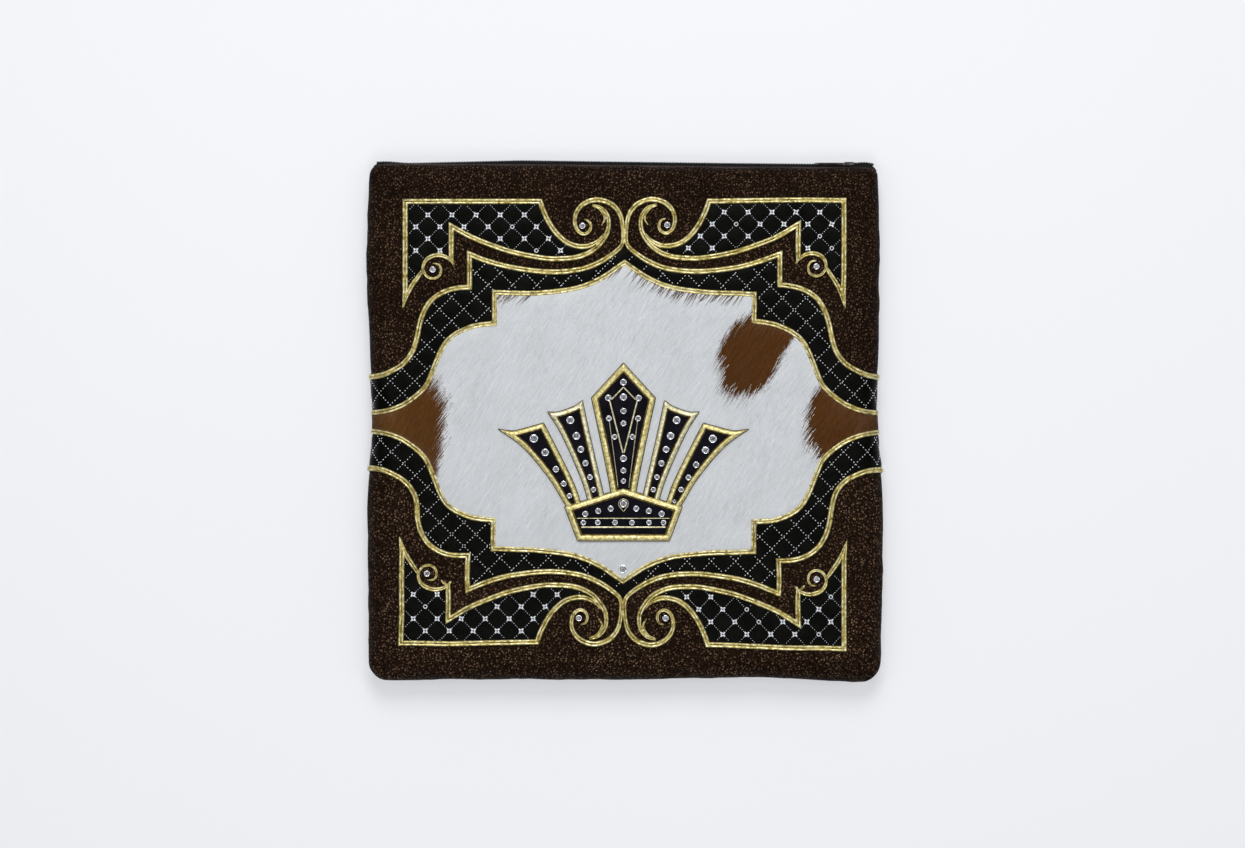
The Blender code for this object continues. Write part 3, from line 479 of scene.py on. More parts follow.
# The hide's brown patches: across, up.
PATCH_UPPER_RIGHT = (
    (92.0, 76.0),
    (77.0, 68.5),
    (68.4, 57.4),
    (64.6, 44.6),
    (67.6, 31.9),
    (66.2, 20.3),
    (76.4, 16.6),
    (86.8, 18.2),
    (97.6, 23.0),
    (105.0, 32.9),
    (109.2, 43.6),
    (115.0, 53.8),
    (124.0, 66.0),
)
PATCH_RIGHT = (
    (196.0, 32.0),
    (138.0, 26.0),
    (132.6, 19.9),
    (127.6, 12.7),
    (127.4, 2.1),
    (127.0, -8.8),
    (128.4, -17.5),
    (132.6, -22.4),
    (140.0, -32.0),
    (196.0, -34.0),
)
PATCH_LEFT = (
    (-140.0, 34.0),
    (-132.5, 27.1),
    (-128.8, 20.3),
    (-127.1, 13.6),
    (-127.3, 5.0),
    (-127.1, -2.5),
    (-126.2, -15.1),
    (-129.8, -29.4),
    (-131.2, -36.4),
    (-140.0, -42.0),
    (-196.0, -42.0),
    (-196.0, 34.0),
)

# The hair: its colours, the way it lies, and each hair's length, width and thickness
WHITE_HAIR = (0.625, 0.645, 0.668)
BROWN_HAIR = (0.074, 0.0245, 0.002)
LEFT_BROWN = (0.095, 0.036, 0.004)
HAIR_ANGLE = math.radians(236)
HAIR_SPREAD = 0.09
HAIR_LENGTH = (8.0, 15.0)
HAIR_WIDTH = (0.22, 0.42)
HAIR_THICK = 0.045
HAIRS = 47000
SHORTEST_HAIR = 1.2
HIDE_GRID = 3.0

rng = np.random.default_rng(SEED)


def column(table, index):
    """One column of a table."""
    return np.array([row[index] for row in table], float)


EDGE_PLACES = np.arange(-190.0, 191.0)
EDGE_SOFTNESS = 17


def softened(table, index):
    """An edge's inset at every millimetre, with the table's bends rounded."""
    plain = np.interp(EDGE_PLACES, column(table, 0), column(table, index))
    kernel = np.hanning(EDGE_SOFTNESS)
    spread = np.pad(plain, EDGE_SOFTNESS // 2, mode="edge")
    return np.convolve(spread, kernel / kernel.sum(), mode="valid")


LEFT_INSET, RIGHT_INSET = softened(SIDE_EDGES, 1), softened(SIDE_EDGES, 2)
TOP_INSET, TEETH_INSET = softened(TOP_EDGES, 1), softened(TOP_EDGES, 2)
BOTTOM_INSET = softened(BOTTOM_EDGE, 1)


def side_inset(x, y):
    """How far the side edge on x's side lies in at height y."""
    left = np.interp(y, EDGE_PLACES, LEFT_INSET)
    return np.where(x < 0, left, np.interp(y, EDGE_PLACES, RIGHT_INSET))


def end_inset(x, y):
    """How far the leather's top or bottom edge lies in at x."""
    top = np.interp(x, EDGE_PLACES, TOP_INSET)
    return np.where(y > 0, top, np.interp(x, EDGE_PLACES, BOTTOM_INSET))


def crowning(x, y):
    """How far the stuffed front stands above the flat between its rims."""
    return FRONT_CROWN * (1 - (x / HALF_WIDTH) ** 2) * (1 - (y / HALF_HEIGHT) ** 2)


def mouth(x):
    """Half the height of the zip's mouth at x."""
    return MOUTH * np.maximum(0.0, 1 - (np.abs(x) / MOUTH_END) ** MOUTH_POWER)


RIM_TURNS = np.linspace(0, math.pi / 2, 65)[::-1]
RIM_IN = RIM * (1 - np.cos(RIM_TURNS))
RIM_UP = (FRONT_RISE - GAP / 2) * np.sin(RIM_TURNS)
RIM_ARCS = np.concatenate([[0], np.cumsum(np.hypot(np.diff(RIM_IN), np.diff(RIM_UP)))])
SLOPE_STEP = 0.8


def plateau_edge(x, y):
    """Where the flat of the front ends on x's side, at height y."""
    edge = HALF_WIDTH - RIM
    return edge - side_inset(x, y) * (edge / HALF_WIDTH) ** 3


def leather(out, y):
    """Points of the front's leather. Past the flat, out is measured along the leather."""
    side = np.where(out < 0, -1.0, 1.0)
    past = np.clip(np.abs(out) - plateau_edge(out, y), 0, RIM_ARCS[-1])
    plain = HALF_WIDTH - np.interp(past, RIM_ARCS, RIM_IN)
    rolled = side * (plain - side_inset(out, y) * (plain / HALF_WIDTH) ** 3)
    x = np.where(past > 0, rolled, out)
    z = SEAM_Z + GAP / 2 + np.interp(past, RIM_ARCS, RIM_UP) + crowning(x, y)
    return np.stack([x, y, z], -1)


def above(flat, height):
    """Points at these heights above the front's leather."""
    out, y = np.asarray(flat, float)[:, 0], np.asarray(flat, float)[:, 1]
    side = np.where(out < 0, -1.0, 1.0)
    reach = plateau_edge(out, y) + RIM_ARCS[-1] - 0.01
    outer = np.minimum(np.abs(out) + SLOPE_STEP, reach)
    across = leather(side * outer, y) - leather(side * (outer - 2 * SLOPE_STEP), y)
    along = leather(out, y + SLOPE_STEP) - leather(out, y - SLOPE_STEP)
    normal = np.cross(across * side[:, None], along)
    normal /= np.linalg.norm(normal, axis=1)[:, None]
    return leather(out, y) + normal * np.broadcast_to(height, out.shape)[:, None]


def placed(quarter, rows):
    """Rows drawn for the upper left quarter, placed in another. Further columns are kept."""
    rows = np.array(rows, float)
    right, top, first = QUARTERS[quarter]
    drift = np.zeros((len(rows), 2))
    if first is not None:
        anchors = np.array(HAND_DRIFT)
        apart = rows[:, None, :2] - anchors[None, :, :2]
        weights = 1 / (DRIFT_SOFTNESS + (apart**2).sum(axis=2))
        drift = weights @ anchors[:, first : first + 2] / weights.sum(axis=1)[:, None]
    rows[:, 0] = MIDDLE[0] + right * (rows[:, 0] + drift[:, 0])
    rows[:, 1] = MIDDLE[1] + top * (rows[:, 1] + drift[:, 1])
    return rows


def smooth(rows, spacing=0.7):
    """A smooth line through rows, as points about this far apart."""
    rows = np.array(rows, float)
    if len(rows) > 2:
        ends = np.vstack([2 * rows[0] - rows[1], rows, 2 * rows[-1] - rows[-2]])
        t = np.linspace(0, 1, 16, endpoint=False)[:, None]
        line = []
        for a, b, c, d in zip(ends, ends[1:], ends[2:], ends[3:]):
            cubic = (c - a) * t + (2 * a - 5 * b + 4 * c - d) * t**2
            line.append((2 * b + cubic + (3 * b - a - 3 * c + d) * t**3) / 2)
        rows = np.vstack([*line, rows[-1:]])
    return spaced(rows, spacing)


def spaced(line, spacing, start=0.0, end=0.0):
    """A line's points at even spacing, between clear lengths at its two ends."""
    arcs = np.concatenate([[0], np.cumsum(np.hypot(*np.diff(line[:, :2], axis=0).T))])
    long = arcs[-1]
    start, end = min(start, 0.45 * long), min(end, 0.45 * long)
    count = max(2, int(round((long - start - end) / spacing)) + 1)
    at = np.linspace(start, long - end, count)
    if start:
        at = np.concatenate([[0], at])
    if end:
        at = np.concatenate([at, [long]])
    return np.stack([np.interp(at, arcs, line[:, k]) for k in range(line.shape[1])], -1)


def stations(runs, spacing):
    """A trim's stations along runs that meet at corners, kept clear of each corner's inside."""
    turns = [0.0]
    for run, following in zip(runs, runs[1:]):
        first, second = run[-1, :2] - run[-2, :2], following[1, :2] - following[0, :2]
        cosine = first @ second / (np.hypot(*first) * np.hypot(*second))
        half = math.acos(max(-1.0, min(1.0, cosine))) / 2
        turns.append(run[-1, 2] / 2 * math.tan(min(half, 1.25)))
    turns.append(0.0)
    line = []
    for run, start, end in zip(runs, turns, turns[1:]):
        rows = spaced(run, spacing, start, end)
        line.append(rows if not line else rows[1:])
    return np.vstack(line)


def mitred(line):
    """At each station of a line, the direction across it, stretched where it turns."""
    steps = np.diff(line[:, :2], axis=0)
    steps /= np.hypot(*steps.T)[:, None]
    before, after = np.vstack([steps[:1], steps]), np.vstack([steps, steps[-1:]])
    across = np.stack([-(before + after)[:, 1], (before + after)[:, 0]], -1)
    across /= np.maximum(np.hypot(*across.T), 1e-6)[:, None]
    fit = np.abs(across[:, 1] * before[:, 0] - across[:, 0] * before[:, 1])
    return across / np.maximum(fit, 0.35)[:, None]


def inside(points, loop):
    """Whether a closed loop runs round each point."""
    x, y = points[:, 0], points[:, 1]
    found = np.zeros(len(points), bool)
    ends = np.array([p[:2] for p in loop], float)
    for (x0, y0), (x1, y1) in zip(ends, np.roll(ends, -1, axis=0)):
        if y0 != y1:
            crosses = (y0 > y) != (y1 > y)
            found ^= crosses & (x < (x1 - x0) * (y - y0) / (y1 - y0) + x0)
    return found


def edge_distance(points, edge):
    """Each point's distance to the nearest point of an edge."""
    edge = np.asarray(edge, float)[:, :2]
    near = [np.zeros(0)]
    for part in np.array_split(points, max(1, len(points) // 2000)):
        apart = part[:, None, :] - edge[None]
        near.append(np.sqrt((apart**2).sum(axis=2).min(axis=1)))
    return np.concatenate(near)


def smooth_loop(loop):
    """A loop's edge as points close together."""
    closed = np.vstack([loop, loop[:1]])
    return spaced(closed[:, :2], 1.0)


def clear_inside(points, loop, edge, margin):
    """The rows of points that lie inside a loop and further than a margin from its edge."""
    low, high = loop.min(axis=0), loop.max(axis=0)
    points = points[((points[:, :2] > low) & (points[:, :2] < high)).all(axis=1)]
    points = points[inside(points, loop)]
    return points[edge_distance(points[:, :2], edge) > margin]


def clear_of_seams(points, margin):
    """Whether each point lies further than a margin from the side seams, along the leather."""
    reach = plateau_edge(points[:, 0], points[:, 1]) + RIM_ARCS[-1]
    return np.abs(points[:, 0]) < reach - margin


def inner_spots(loop, spacing, margin):
    """A square grid of points inside a loop and clear of its edge."""
    low, high = loop.min(axis=0), loop.max(axis=0)
    x, y = np.meshgrid(np.arange(low[0], high[0], spacing), np.arange(low[1], high[1], spacing))
    spots = np.stack([x.ravel(), y.ravel()], -1)
    return clear_inside(spots, loop, smooth_loop(loop), margin)


def region(inside_loops, outside_loops=(), spots=()):
    """Points and triangles of the area in any inside loop and no outside loop."""
    points, edges = [], []
    for loop in [*inside_loops, *outside_loops]:
        first = len(points)
        points += [Vector((float(p[0]), float(p[1]))) for p in loop]
        edges += [(first + i, first + (i + 1) % len(loop)) for i in range(len(loop))]
    points += [Vector((float(p[0]), float(p[1]))) for p in spots]
    found, _, faces, *_ = delaunay_2d_cdt(points, edges, [], 0, 0.01)
    flat = np.array([tuple(p) for p in found])
    faces = np.array([tuple(face) for face in faces])
    middles = flat[faces].mean(axis=1)
    kept = np.zeros(len(faces), bool)
    for loop in inside_loops:
        kept |= inside(middles, loop)
    for loop in outside_loops:
        kept &= ~inside(middles, loop)
    used, faces = np.unique(faces[kept], return_inverse=True)
    return flat[used], faces.reshape(-1, 3)


def open_edges(faces):
    """The directed edges of triangles that have no twin."""
    directed = np.concatenate([faces[:, [0, 1]], faces[:, [1, 2]], faces[:, [2, 0]]])
    scale = directed.max() + 1
    twins = np.isin(directed[:, 0] * scale + directed[:, 1], directed[:, 1] * scale + directed[:, 0])
    return directed[~twins]


def noise(points, seed, size):
    """A smooth random field with features about this many millimetres across."""
    waves = np.random.default_rng(seed)
    total = np.zeros(len(points))
    for _ in range(7):
        angle, phase = waves.uniform(0, math.tau, 2)
        pitch = math.tau / (size * waves.uniform(1.4, 3.2))
        along = points[:, 0] * math.cos(angle) + points[:, 1] * math.sin(angle)
        total += np.sin(along * pitch + phase)
    return total / 3.5


def add_object(name, data):
    """An object in the scene."""
    made = bpy.data.objects.new(name, data)
    bpy.context.scene.collection.objects.link(made)
    return made


def add_piece(name, points, faces, looks, indices=None, smooth_shaded=True, slot=None, replaces=()):
    """A piece of the bag from points in millimetres and arrays of faces with 3 to n corners."""
    mesh = bpy.data.meshes.new(name)
    faces = [np.asarray(f, int) for f in faces if len(f)]
    corners = np.concatenate([f.ravel() for f in faces])
    totals = np.concatenate([np.full(len(f), f.shape[1]) for f in faces])
    mesh.vertices.add(len(points))
    mesh.vertices.foreach_set("co", (np.asarray(points) * MM).astype(np.float32).ravel())
    mesh.loops.add(len(corners))
    mesh.loops.foreach_set("vertex_index", corners.astype(np.int32))
    mesh.polygons.add(len(totals))
    starts = np.concatenate([[0], np.cumsum(totals)[:-1]])
    mesh.polygons.foreach_set("loop_start", starts.astype(np.int32))
    for look in looks:
        mesh.materials.append(look)
    if indices is not None:
        mesh.polygons.foreach_set("material_index", np.asarray(indices, np.int32))
    mesh.polygons.foreach_set("use_smooth", np.full(len(totals), smooth_shaded))
    mesh.update(calc_edges=True)
    piece = add_object(name, mesh)
    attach(piece, "root")
    if replaces:
        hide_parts(*replaces)
    return piece


def paint(piece, colours):
    """Gives each point of a piece its colour."""
    layer = piece.data.color_attributes.new("tone", "FLOAT_COLOR", "POINT")
    full = np.concatenate([colours, np.ones((len(colours), 1))], axis=1)
    layer.data.foreach_set("color", full.astype(np.float32).ravel())


def grid_faces(rows, columns, first=0):
    """Quads between rows of points. Each row is a closed ring."""
    row, column_number = np.meshgrid(np.arange(rows - 1), np.arange(columns), indexing="ij")
    a = first + row * columns + column_number
    b = first + row * columns + (column_number + 1) % columns
    return np.stack([a, b, b + columns, a + columns], -1).reshape(-1, 4)


def halved(quads):
    """Each quad as two triangles."""
    return np.vstack([quads[:, [0, 1, 2]], quads[:, [0, 2, 3]]])


def fan(count, first=0):
    """Triangles that fill a ring of this many points."""
    around = np.arange(1, count - 1)
    return first + np.stack([np.zeros(count - 2, int), around, around + 1], -1)


def repeated(faces, count, points):
    """The same triangles for each of several copies with this many points."""
    return (np.array(faces)[None] + np.arange(count)[:, None, None] * points).reshape(-1, 3)


def ring_faces(rows, columns):
    """Quads between rows of points, and from the last row back to the first."""
    return grid_faces(rows + 1, columns) % (rows * columns)


def capped(rows, columns):
    """Triangles of a solid through rings of points, closed at both ends."""
    last = (rows - 1) * columns
    return np.vstack([halved(grid_faces(rows, columns)), fan(columns)[:, ::-1], fan(columns, last)])


def direction(angle):
    """The flat direction at each angle."""
    return np.stack([np.cos(angle), np.sin(angle)], -1)


def circle(count, shift=0.0):
    """Points evenly spaced on a circle of radius 1."""
    return direction((np.arange(count) + shift) * math.tau / count)


def faces_down(points, quad):
    """Whether a quad faces down."""
    first, second, _, last = points[quad]
    return np.cross(second - first, last - first)[2] < 0


def merged(parts):
    """Several sets of points and triangles as one."""
    points, faces, first = [], [], 0
    for part_points, part_faces in parts:
        points.append(part_points)
        faces.append(part_faces + first)
        first += len(part_points)
    return np.vstack(points), np.vstack(faces)


def add_merged(name, parts, look, **options):
    """One piece made of several sets of points and triangles."""
    points, faces = merged(parts)
    return add_piece(name, points, [faces], [look], **options)


def fill_ramp(made, stops):
    """Gives a colour ramp its stops, each at a position with a grey or a colour."""
    elements = made.color_ramp.elements
    while len(elements) < len(stops):
        elements.new(0.5)
    for element, (position, colour) in zip(elements, stops):
        element.position = position
        shade = colour if isinstance(colour, tuple) else (colour,) * 3
        element.color = (*shade, 1)


class Look:
    """A material's node tree, with short calls for the nodes that the looks share."""

    def __init__(self, name, colour, roughness, metallic=0.0, **sockets):
        self.material = bpy.data.materials.new(name)
        self.material.use_nodes = True
        self.nodes = self.material.node_tree.nodes
        self.links = self.material.node_tree.links
        self.shader = self.nodes["Principled BSDF"]
        self.shader.inputs["Base Color"].default_value = (*colour, 1)
        self.shader.inputs["Roughness"].default_value = roughness
        self.shader.inputs["Metallic"].default_value = metallic
        for socket, value in sockets.items():
            self.shader.inputs[socket.replace("_", " ")].default_value = value
        self.place = self.nodes.new("ShaderNodeTexCoord").outputs["Object"]

    def node(self, kind, links=(), **values):
        made = self.nodes.new(kind)
        for key, value in values.items():
            if hasattr(made, key):
                setattr(made, key, value)
            else:
                made.inputs[key.replace("_", " ")].default_value = value
        for socket, source in links:
            self.links.new(source, made.inputs[socket])
        return made

    def noise(self, size_mm, detail=3.0, roughness=0.55):
        values = {"Scale": 1 / (size_mm * MM), "Detail": detail, "Roughness": roughness}
        return self.node("ShaderNodeTexNoise", [("Vector", self.place)], **values).outputs["Fac"]

    def cells(self, size_mm, feature="F1", output="Distance"):
        made = self.node("ShaderNodeTexVoronoi", feature=feature, Scale=1 / (size_mm * MM))
        self.links.new(self.place, made.inputs["Vector"])
        return made.outputs[output]

    def warp(self, size_mm, amount_mm):
        """Bends the look's coordinates by a soft noise."""
        links = [("Vector", self.place)]
        colour = self.node("ShaderNodeTexNoise", links, Scale=1 / (size_mm * MM)).outputs["Color"]
        centred = self.node("ShaderNodeVectorMath", [(0, colour)], operation="SUBTRACT")
        centred.inputs[1].default_value = (0.5, 0.5, 0.5)
        scaled = self.node("ShaderNodeVectorMath", operation="SCALE", Scale=2 * amount_mm * MM)
        self.links.new(centred.outputs[0], scaled.inputs[0])
        links = [(0, self.place), (1, scaled.outputs[0])]
        self.place = self.node("ShaderNodeVectorMath", links, operation="ADD").outputs[0]

    def feed(self, made, inputs):
        """Gives a node's inputs a number, a colour or another node's output."""
        for index, value in inputs:
            if isinstance(value, (int, float)):
                made.inputs[index].default_value = value
            elif isinstance(value, tuple):
                made.inputs[index].default_value = (*value, 1)
            else:
                self.links.new(value, made.inputs[index])

    def maths(self, operation, *values):
        made = self.node("ShaderNodeMath", operation=operation)
        self.feed(made, enumerate(values))
        return made.outputs[0]

    def ramp(self, source, stops):
        made = self.node("ShaderNodeValToRGB", [("Fac", source)])
        fill_ramp(made, stops)
        return made.outputs["Color"]

    def mix(self, amount, first, second, blend="MIX"):
        made = self.node("ShaderNodeMix", data_type="RGBA", blend_type=blend)
        self.feed(made, ((0, amount), (6, first), (7, second)))
        return made.outputs[2]

    def colour(self, source):
        self.links.new(source, self.shader.inputs["Base Color"])

    def roughness(self, source):
        self.links.new(source, self.shader.inputs["Roughness"])

    def bump(self, source, depth_mm, strength=1.0):
        values = {"Strength": strength, "Distance": depth_mm * MM}
        made = self.node("ShaderNodeBump", [("Height", source)], **values)
        previous = self.shader.inputs["Normal"].links
        if previous:
            self.links.new(previous[0].from_socket, made.inputs["Normal"])
        self.links.new(made.outputs["Normal"], self.shader.inputs["Normal"])


def pebbled_leather():
    """Dark brown leather with a pebbled grain, lighter pebbles with painted glints, and painted shade in
    its crevices and on its steep sides.
    """
    look = Look("pebbled_leather", (0.02, 0.012, 0.009), 0.4, Specular_IOR_Level=0.03)
    look.warp(3.0, 0.6)
    middle, chance = look.cells(PEBBLE), look.cells(PEBBLE, output="Color")
    crevice = look.ramp(look.cells(PEBBLE, "DISTANCE_TO_EDGE"), ((0.0, 0.0), (0.05, 0.5), (0.13, 1.0)))
    dome = look.ramp(middle, ((0.0, 1.0), (0.3, 0.86), (0.5, 0.55), (0.75, 0.05)))
    raised = look.maths("MULTIPLY", dome, crevice)

    ground = ((0.3, (0.006, 0.0022, 0.0008)), (0.7, (0.0115, 0.0046, 0.0019)))
    pebble = ((0.2, (0.012, 0.005, 0.0022)), (0.8, (0.036, 0.018, 0.009)))
    brown = look.ramp(look.noise(30.0, 4.0), ground)
    # Each pebble's middle is lighter than the ground round it: partly a random tone, partly a painted
    # highlight on its dome
    brown = look.mix(look.ramp(middle, ((0.1, 1.0), (0.45, 0.0))), brown, look.ramp(chance, pebble))

    # Painted glints on the pebbles' tops: flecks in the middle of each pebble, more of them in some places
    # and lower down
    up = look.node("ShaderNodeSeparateXYZ", [(0, look.place)]).outputs["Y"]
    lower = look.maths("MULTIPLY_ADD", up, -2.0, 0.5)
    painted_glints = look.ramp(look.noise(1.4, 2.0, 0.6), ((0.4, 0.1), (0.58, 1.0)))
    for source, stops in (
        (chance, ((0.1, 0.45), (0.8, 1.0))),
        (middle, ((0.16, 1.0), (0.4, 0.08))),
        (look.noise(34.0, 2.0), ((0.35, 0.5), (0.65, 1.0))),
        (lower, ((0.14, 0.6), (0.86, 1.0))),
    ):
        painted_glints = look.maths("MULTIPLY", painted_glints, look.ramp(source, stops))
    brown = look.mix(painted_glints, brown, (0.36, 0.22, 0.13))
    # The crevices between the pebbles are painted near black: painted shade
    brown = look.mix(crevice, (0.0015, 0.0006, 0.0004), brown)

    # The steep sides are painted darker: painted shade
    normal = look.node("ShaderNodeNewGeometry").outputs["Normal"]
    facing = look.node("ShaderNodeSeparateXYZ", [(0, normal)]).outputs["Z"]
    steep = look.ramp(facing, ((0.1, 0.75), (0.7, 0.0)))
    look.colour(look.mix(steep, brown, (0.003, 0.0015, 0.001)))
    look.roughness(look.ramp(raised, ((0.0, 0.7), (1.0, 0.32))))
    look.bump(raised, 0.4)
    look.bump(look.noise(0.6), 0.06)
    return look.material


def black_leather(name, tint):
    """Black leather with a fine grain."""
    look = Look(name, tint, 0.34, Specular_IOR_Level=0.034)
    lighter = tuple(3.0 * value + 0.0014 for value in tint)
    look.colour(look.ramp(look.noise(9.0, 4.0), ((0.35, tint), (0.75, lighter))))
    look.roughness(look.ramp(look.noise(1.6), ((0.3, 0.28), (0.7, 0.45))))
    look.bump(look.cells(0.8), 0.12)
    look.bump(look.noise(3.0), 0.15)
    return look.material


def gold_foil():
    """Creased gold foil over cord, mottled from olive painted shade in its creases to pale painted
    highlights on its ridges.
    """
    look = Look("gold_foil", (0.62, 0.49, 0.16), 0.34, 0.6)
    mottle = look.noise(2.7, 4.0, 0.6)
    tone = look.noise(11.0, 2.0)
    gold = ((0.34, (0.13, 0.094, 0.012)), (0.5, (0.57, 0.47, 0.15)), (0.66, (1.0, 0.96, 0.62)))
    # Patches of pale cream over the mottle are painted highlights
    pale = look.mix(look.ramp(tone, ((0.45, 0.0), (0.7, 0.35))), look.ramp(mottle, gold), (0.9, 0.86, 0.56))
    look.colour(pale)
    look.roughness(look.ramp(mottle, ((0.3, 0.5), (0.7, 0.26))))
    look.bump(mottle, 0.35)
    look.bump(look.noise(0.6), 0.08)
    return look.material


def groove_gold():
    """The dull olive gold of the groove between the two cords, painted darker as painted shade."""
    look = Look("groove_gold", (0.16, 0.12, 0.03), 0.6, 0.0, Specular_IOR_Level=0.1)
    dull = look.ramp(look.noise(4.2, 3.0), ((0.36, (0.05, 0.035, 0.005)), (0.64, (0.26, 0.195, 0.045))))
    bright = look.ramp(look.noise(9.0, 2.0), ((0.45, 0.0), (0.6, 0.8)))
    look.colour(look.mix(bright, dull, (0.56, 0.46, 0.15)))
    look.bump(look.noise(1.2), 0.1)
    return look.material


def satin_gold(name, tints):
    """Smoother satin gold, for the crown, mottled from painted shade to painted highlights."""
    look = Look(name, tints[1], 0.36, 0.55)
    mottle = look.noise(2.2, 4.0, 0.6)
    look.colour(look.ramp(mottle, ((0.3, tints[0]), (0.5, tints[1]), (0.68, tints[2]))))
    look.roughness(look.ramp(mottle, ((0.3, 0.45), (0.7, 0.28))))
    look.bump(mottle, 0.16)
    return look.material


def hide_skin():
    """The hide below its hair, coloured like the hair over it."""
    look = Look("hide_skin", (0.6, 0.62, 0.65), 0.8)
    tone = look.node("ShaderNodeAttribute", attribute_name="tone").outputs["Color"]
    streak = look.noise(2.2, 4.0, 0.6)
    look.colour(look.mix(look.ramp(streak, ((0.3, 0.12), (0.7, 0.0))), tone, (0.2, 0.2, 0.2), "MULTIPLY"))
    look.bump(streak, 0.04)
    return look.material


def hair():
    """Hair with a soft sheen, each hair in its own tone."""
    look = Look("hair", (0.7, 0.72, 0.75), 0.7, Specular_IOR_Level=0.1)
    look.colour(look.node("ShaderNodeAttribute", attribute_name="tone").outputs["Color"])
    look.bump(look.noise(0.5), 0.02)
    return look.material


def cut_stone(name, tint, metallic):
    """A foil-backed cut stone, clear with small darker patches."""
    look = Look(name, tint, 0.12, metallic, Coat_Weight=0.4, Coat_Roughness=0.05)
    darker = tuple(0.3 * value for value in tint)
    look.colour(look.ramp(look.noise(1.1, 1.0), ((0.42, darker), (0.56, tint))))
    return look.material


def zip_cloth():
    """Black woven zip tape, a fine twill."""
    look = Look("zip_cloth", (0.006, 0.006, 0.007), 0.6, Specular_IOR_Level=0.2)
    wave = look.node("ShaderNodeTexWave", [("Vector", look.place)], Scale=900.0, Distortion=1.5)
    look.bump(wave.outputs["Fac"], 0.12)
    look.colour(look.ramp(look.noise(4.0), ((0.3, (0.004, 0.004, 0.005)), (0.7, (0.012, 0.011, 0.012)))))
    return look.material


# Plain looks: colour, roughness, metallic, specular, what a noise drives, its size and its two stops,
# and the size and depth of the bump
PLAIN_LOOKS = {
    "edge_leather": (
        *((0.03, 0.014, 0.01), 0.42, 0.0, 0.2, "Base Color", 6.0),
        *(((0.3, (0.018, 0.008, 0.006)), (0.7, (0.05, 0.022, 0.015))), (1.2, 0.12)),
    ),
    # The trims' and the crown's dark outline: partly a dark piped edge, partly painted shade along their
    # edges
    "trim_edge": (
        *((0.03, 0.022, 0.006), 0.7, 0.0, 0.1, "Base Color", 2.0),
        *(((0.35, (0.012, 0.009, 0.003)), (0.7, (0.07, 0.05, 0.015))), None),
    ),
    "silver_thread": (
        *((0.72, 0.75, 0.8), 0.35, 0.3, 0.5, "Base Color", 0.7),
        *(((0.3, (0.52, 0.55, 0.6)), (0.6, (0.92, 0.95, 1.0))), (0.3, 0.05)),
    ),
    "red_thread": (
        *((0.12, 0.05, 0.035), 0.6, 0.0, 0.5, "Base Color", 9.0),
        *(((0.4, (0.06, 0.024, 0.017)), (0.75, (0.3, 0.17, 0.13))), (0.4, 0.05)),
    ),
    "bright_metal": (
        *((0.82, 0.83, 0.86), 0.22, 1.0, 0.5, "Roughness", 0.7),
        *(((0.3, 0.16), (0.7, 0.34)), None),
    ),
    "dark_plate": (
        *((0.06, 0.055, 0.05), 0.3, 1.0, 0.5, "Base Color", 3.0),
        *(((0.4, (0.045, 0.042, 0.04)), (0.8, (0.1, 0.092, 0.082))), (0.8, 0.03)),
    ),
    "zip_plastic": (
        *((0.008, 0.008, 0.009), 0.32, 0.0, 0.5, "Roughness", 1.0),
        *(((0.3, 0.26), (0.7, 0.42)), None),
    ),
}


def plain_look(name):
    """A look from the table above."""
    colour, roughness, metallic, specular, driven, size, stops, bump = PLAIN_LOOKS[name]
    look = Look(name, colour, roughness, metallic, Specular_IOR_Level=specular)
    look.links.new(look.ramp(look.noise(size), stops), look.shader.inputs[driven])
    if bump:
        look.bump(look.noise(bump[0]), bump[1])
    return look.material


def ring(inset):
    """A closed ring at this inset: x, y and how much each point belongs to the top edge."""
    share = min(1.0, inset / RIM)
    along_y, along_x = HALF_HEIGHT - inset, HALF_WIDTH - inset
    turns = np.linspace(0, math.pi / 2, CORNER_STEPS + 1)
    points = []
    for number, (right, top, seam_radius) in enumerate(CORNERS):
        radius = seam_radius + (PLATEAU_CORNER - seam_radius) * share
        angles = turns + number * math.pi / 2
        x = right * (along_x - radius) + radius * np.cos(angles)
        y = top * (along_y - radius) + radius * np.sin(angles)
        on_top = np.maximum(0, np.sin(angles)) ** 2 if top > 0 else np.zeros(len(x))
        points.append(np.stack([x, y, on_top], -1))
    joined = []
    for number, corner in enumerate(points):
        following = points[(number + 1) % 4]
        start, end = corner[-1], following[0]
        count = int((HALF_WIDTH - PLATEAU_CORNER) * 2 / STATION_STEP)
        share_along = np.linspace(0, 1, count + 1)[1:-1, None]
        joined += [corner, start + (end - start) * share_along]
    return np.vstack(joined)


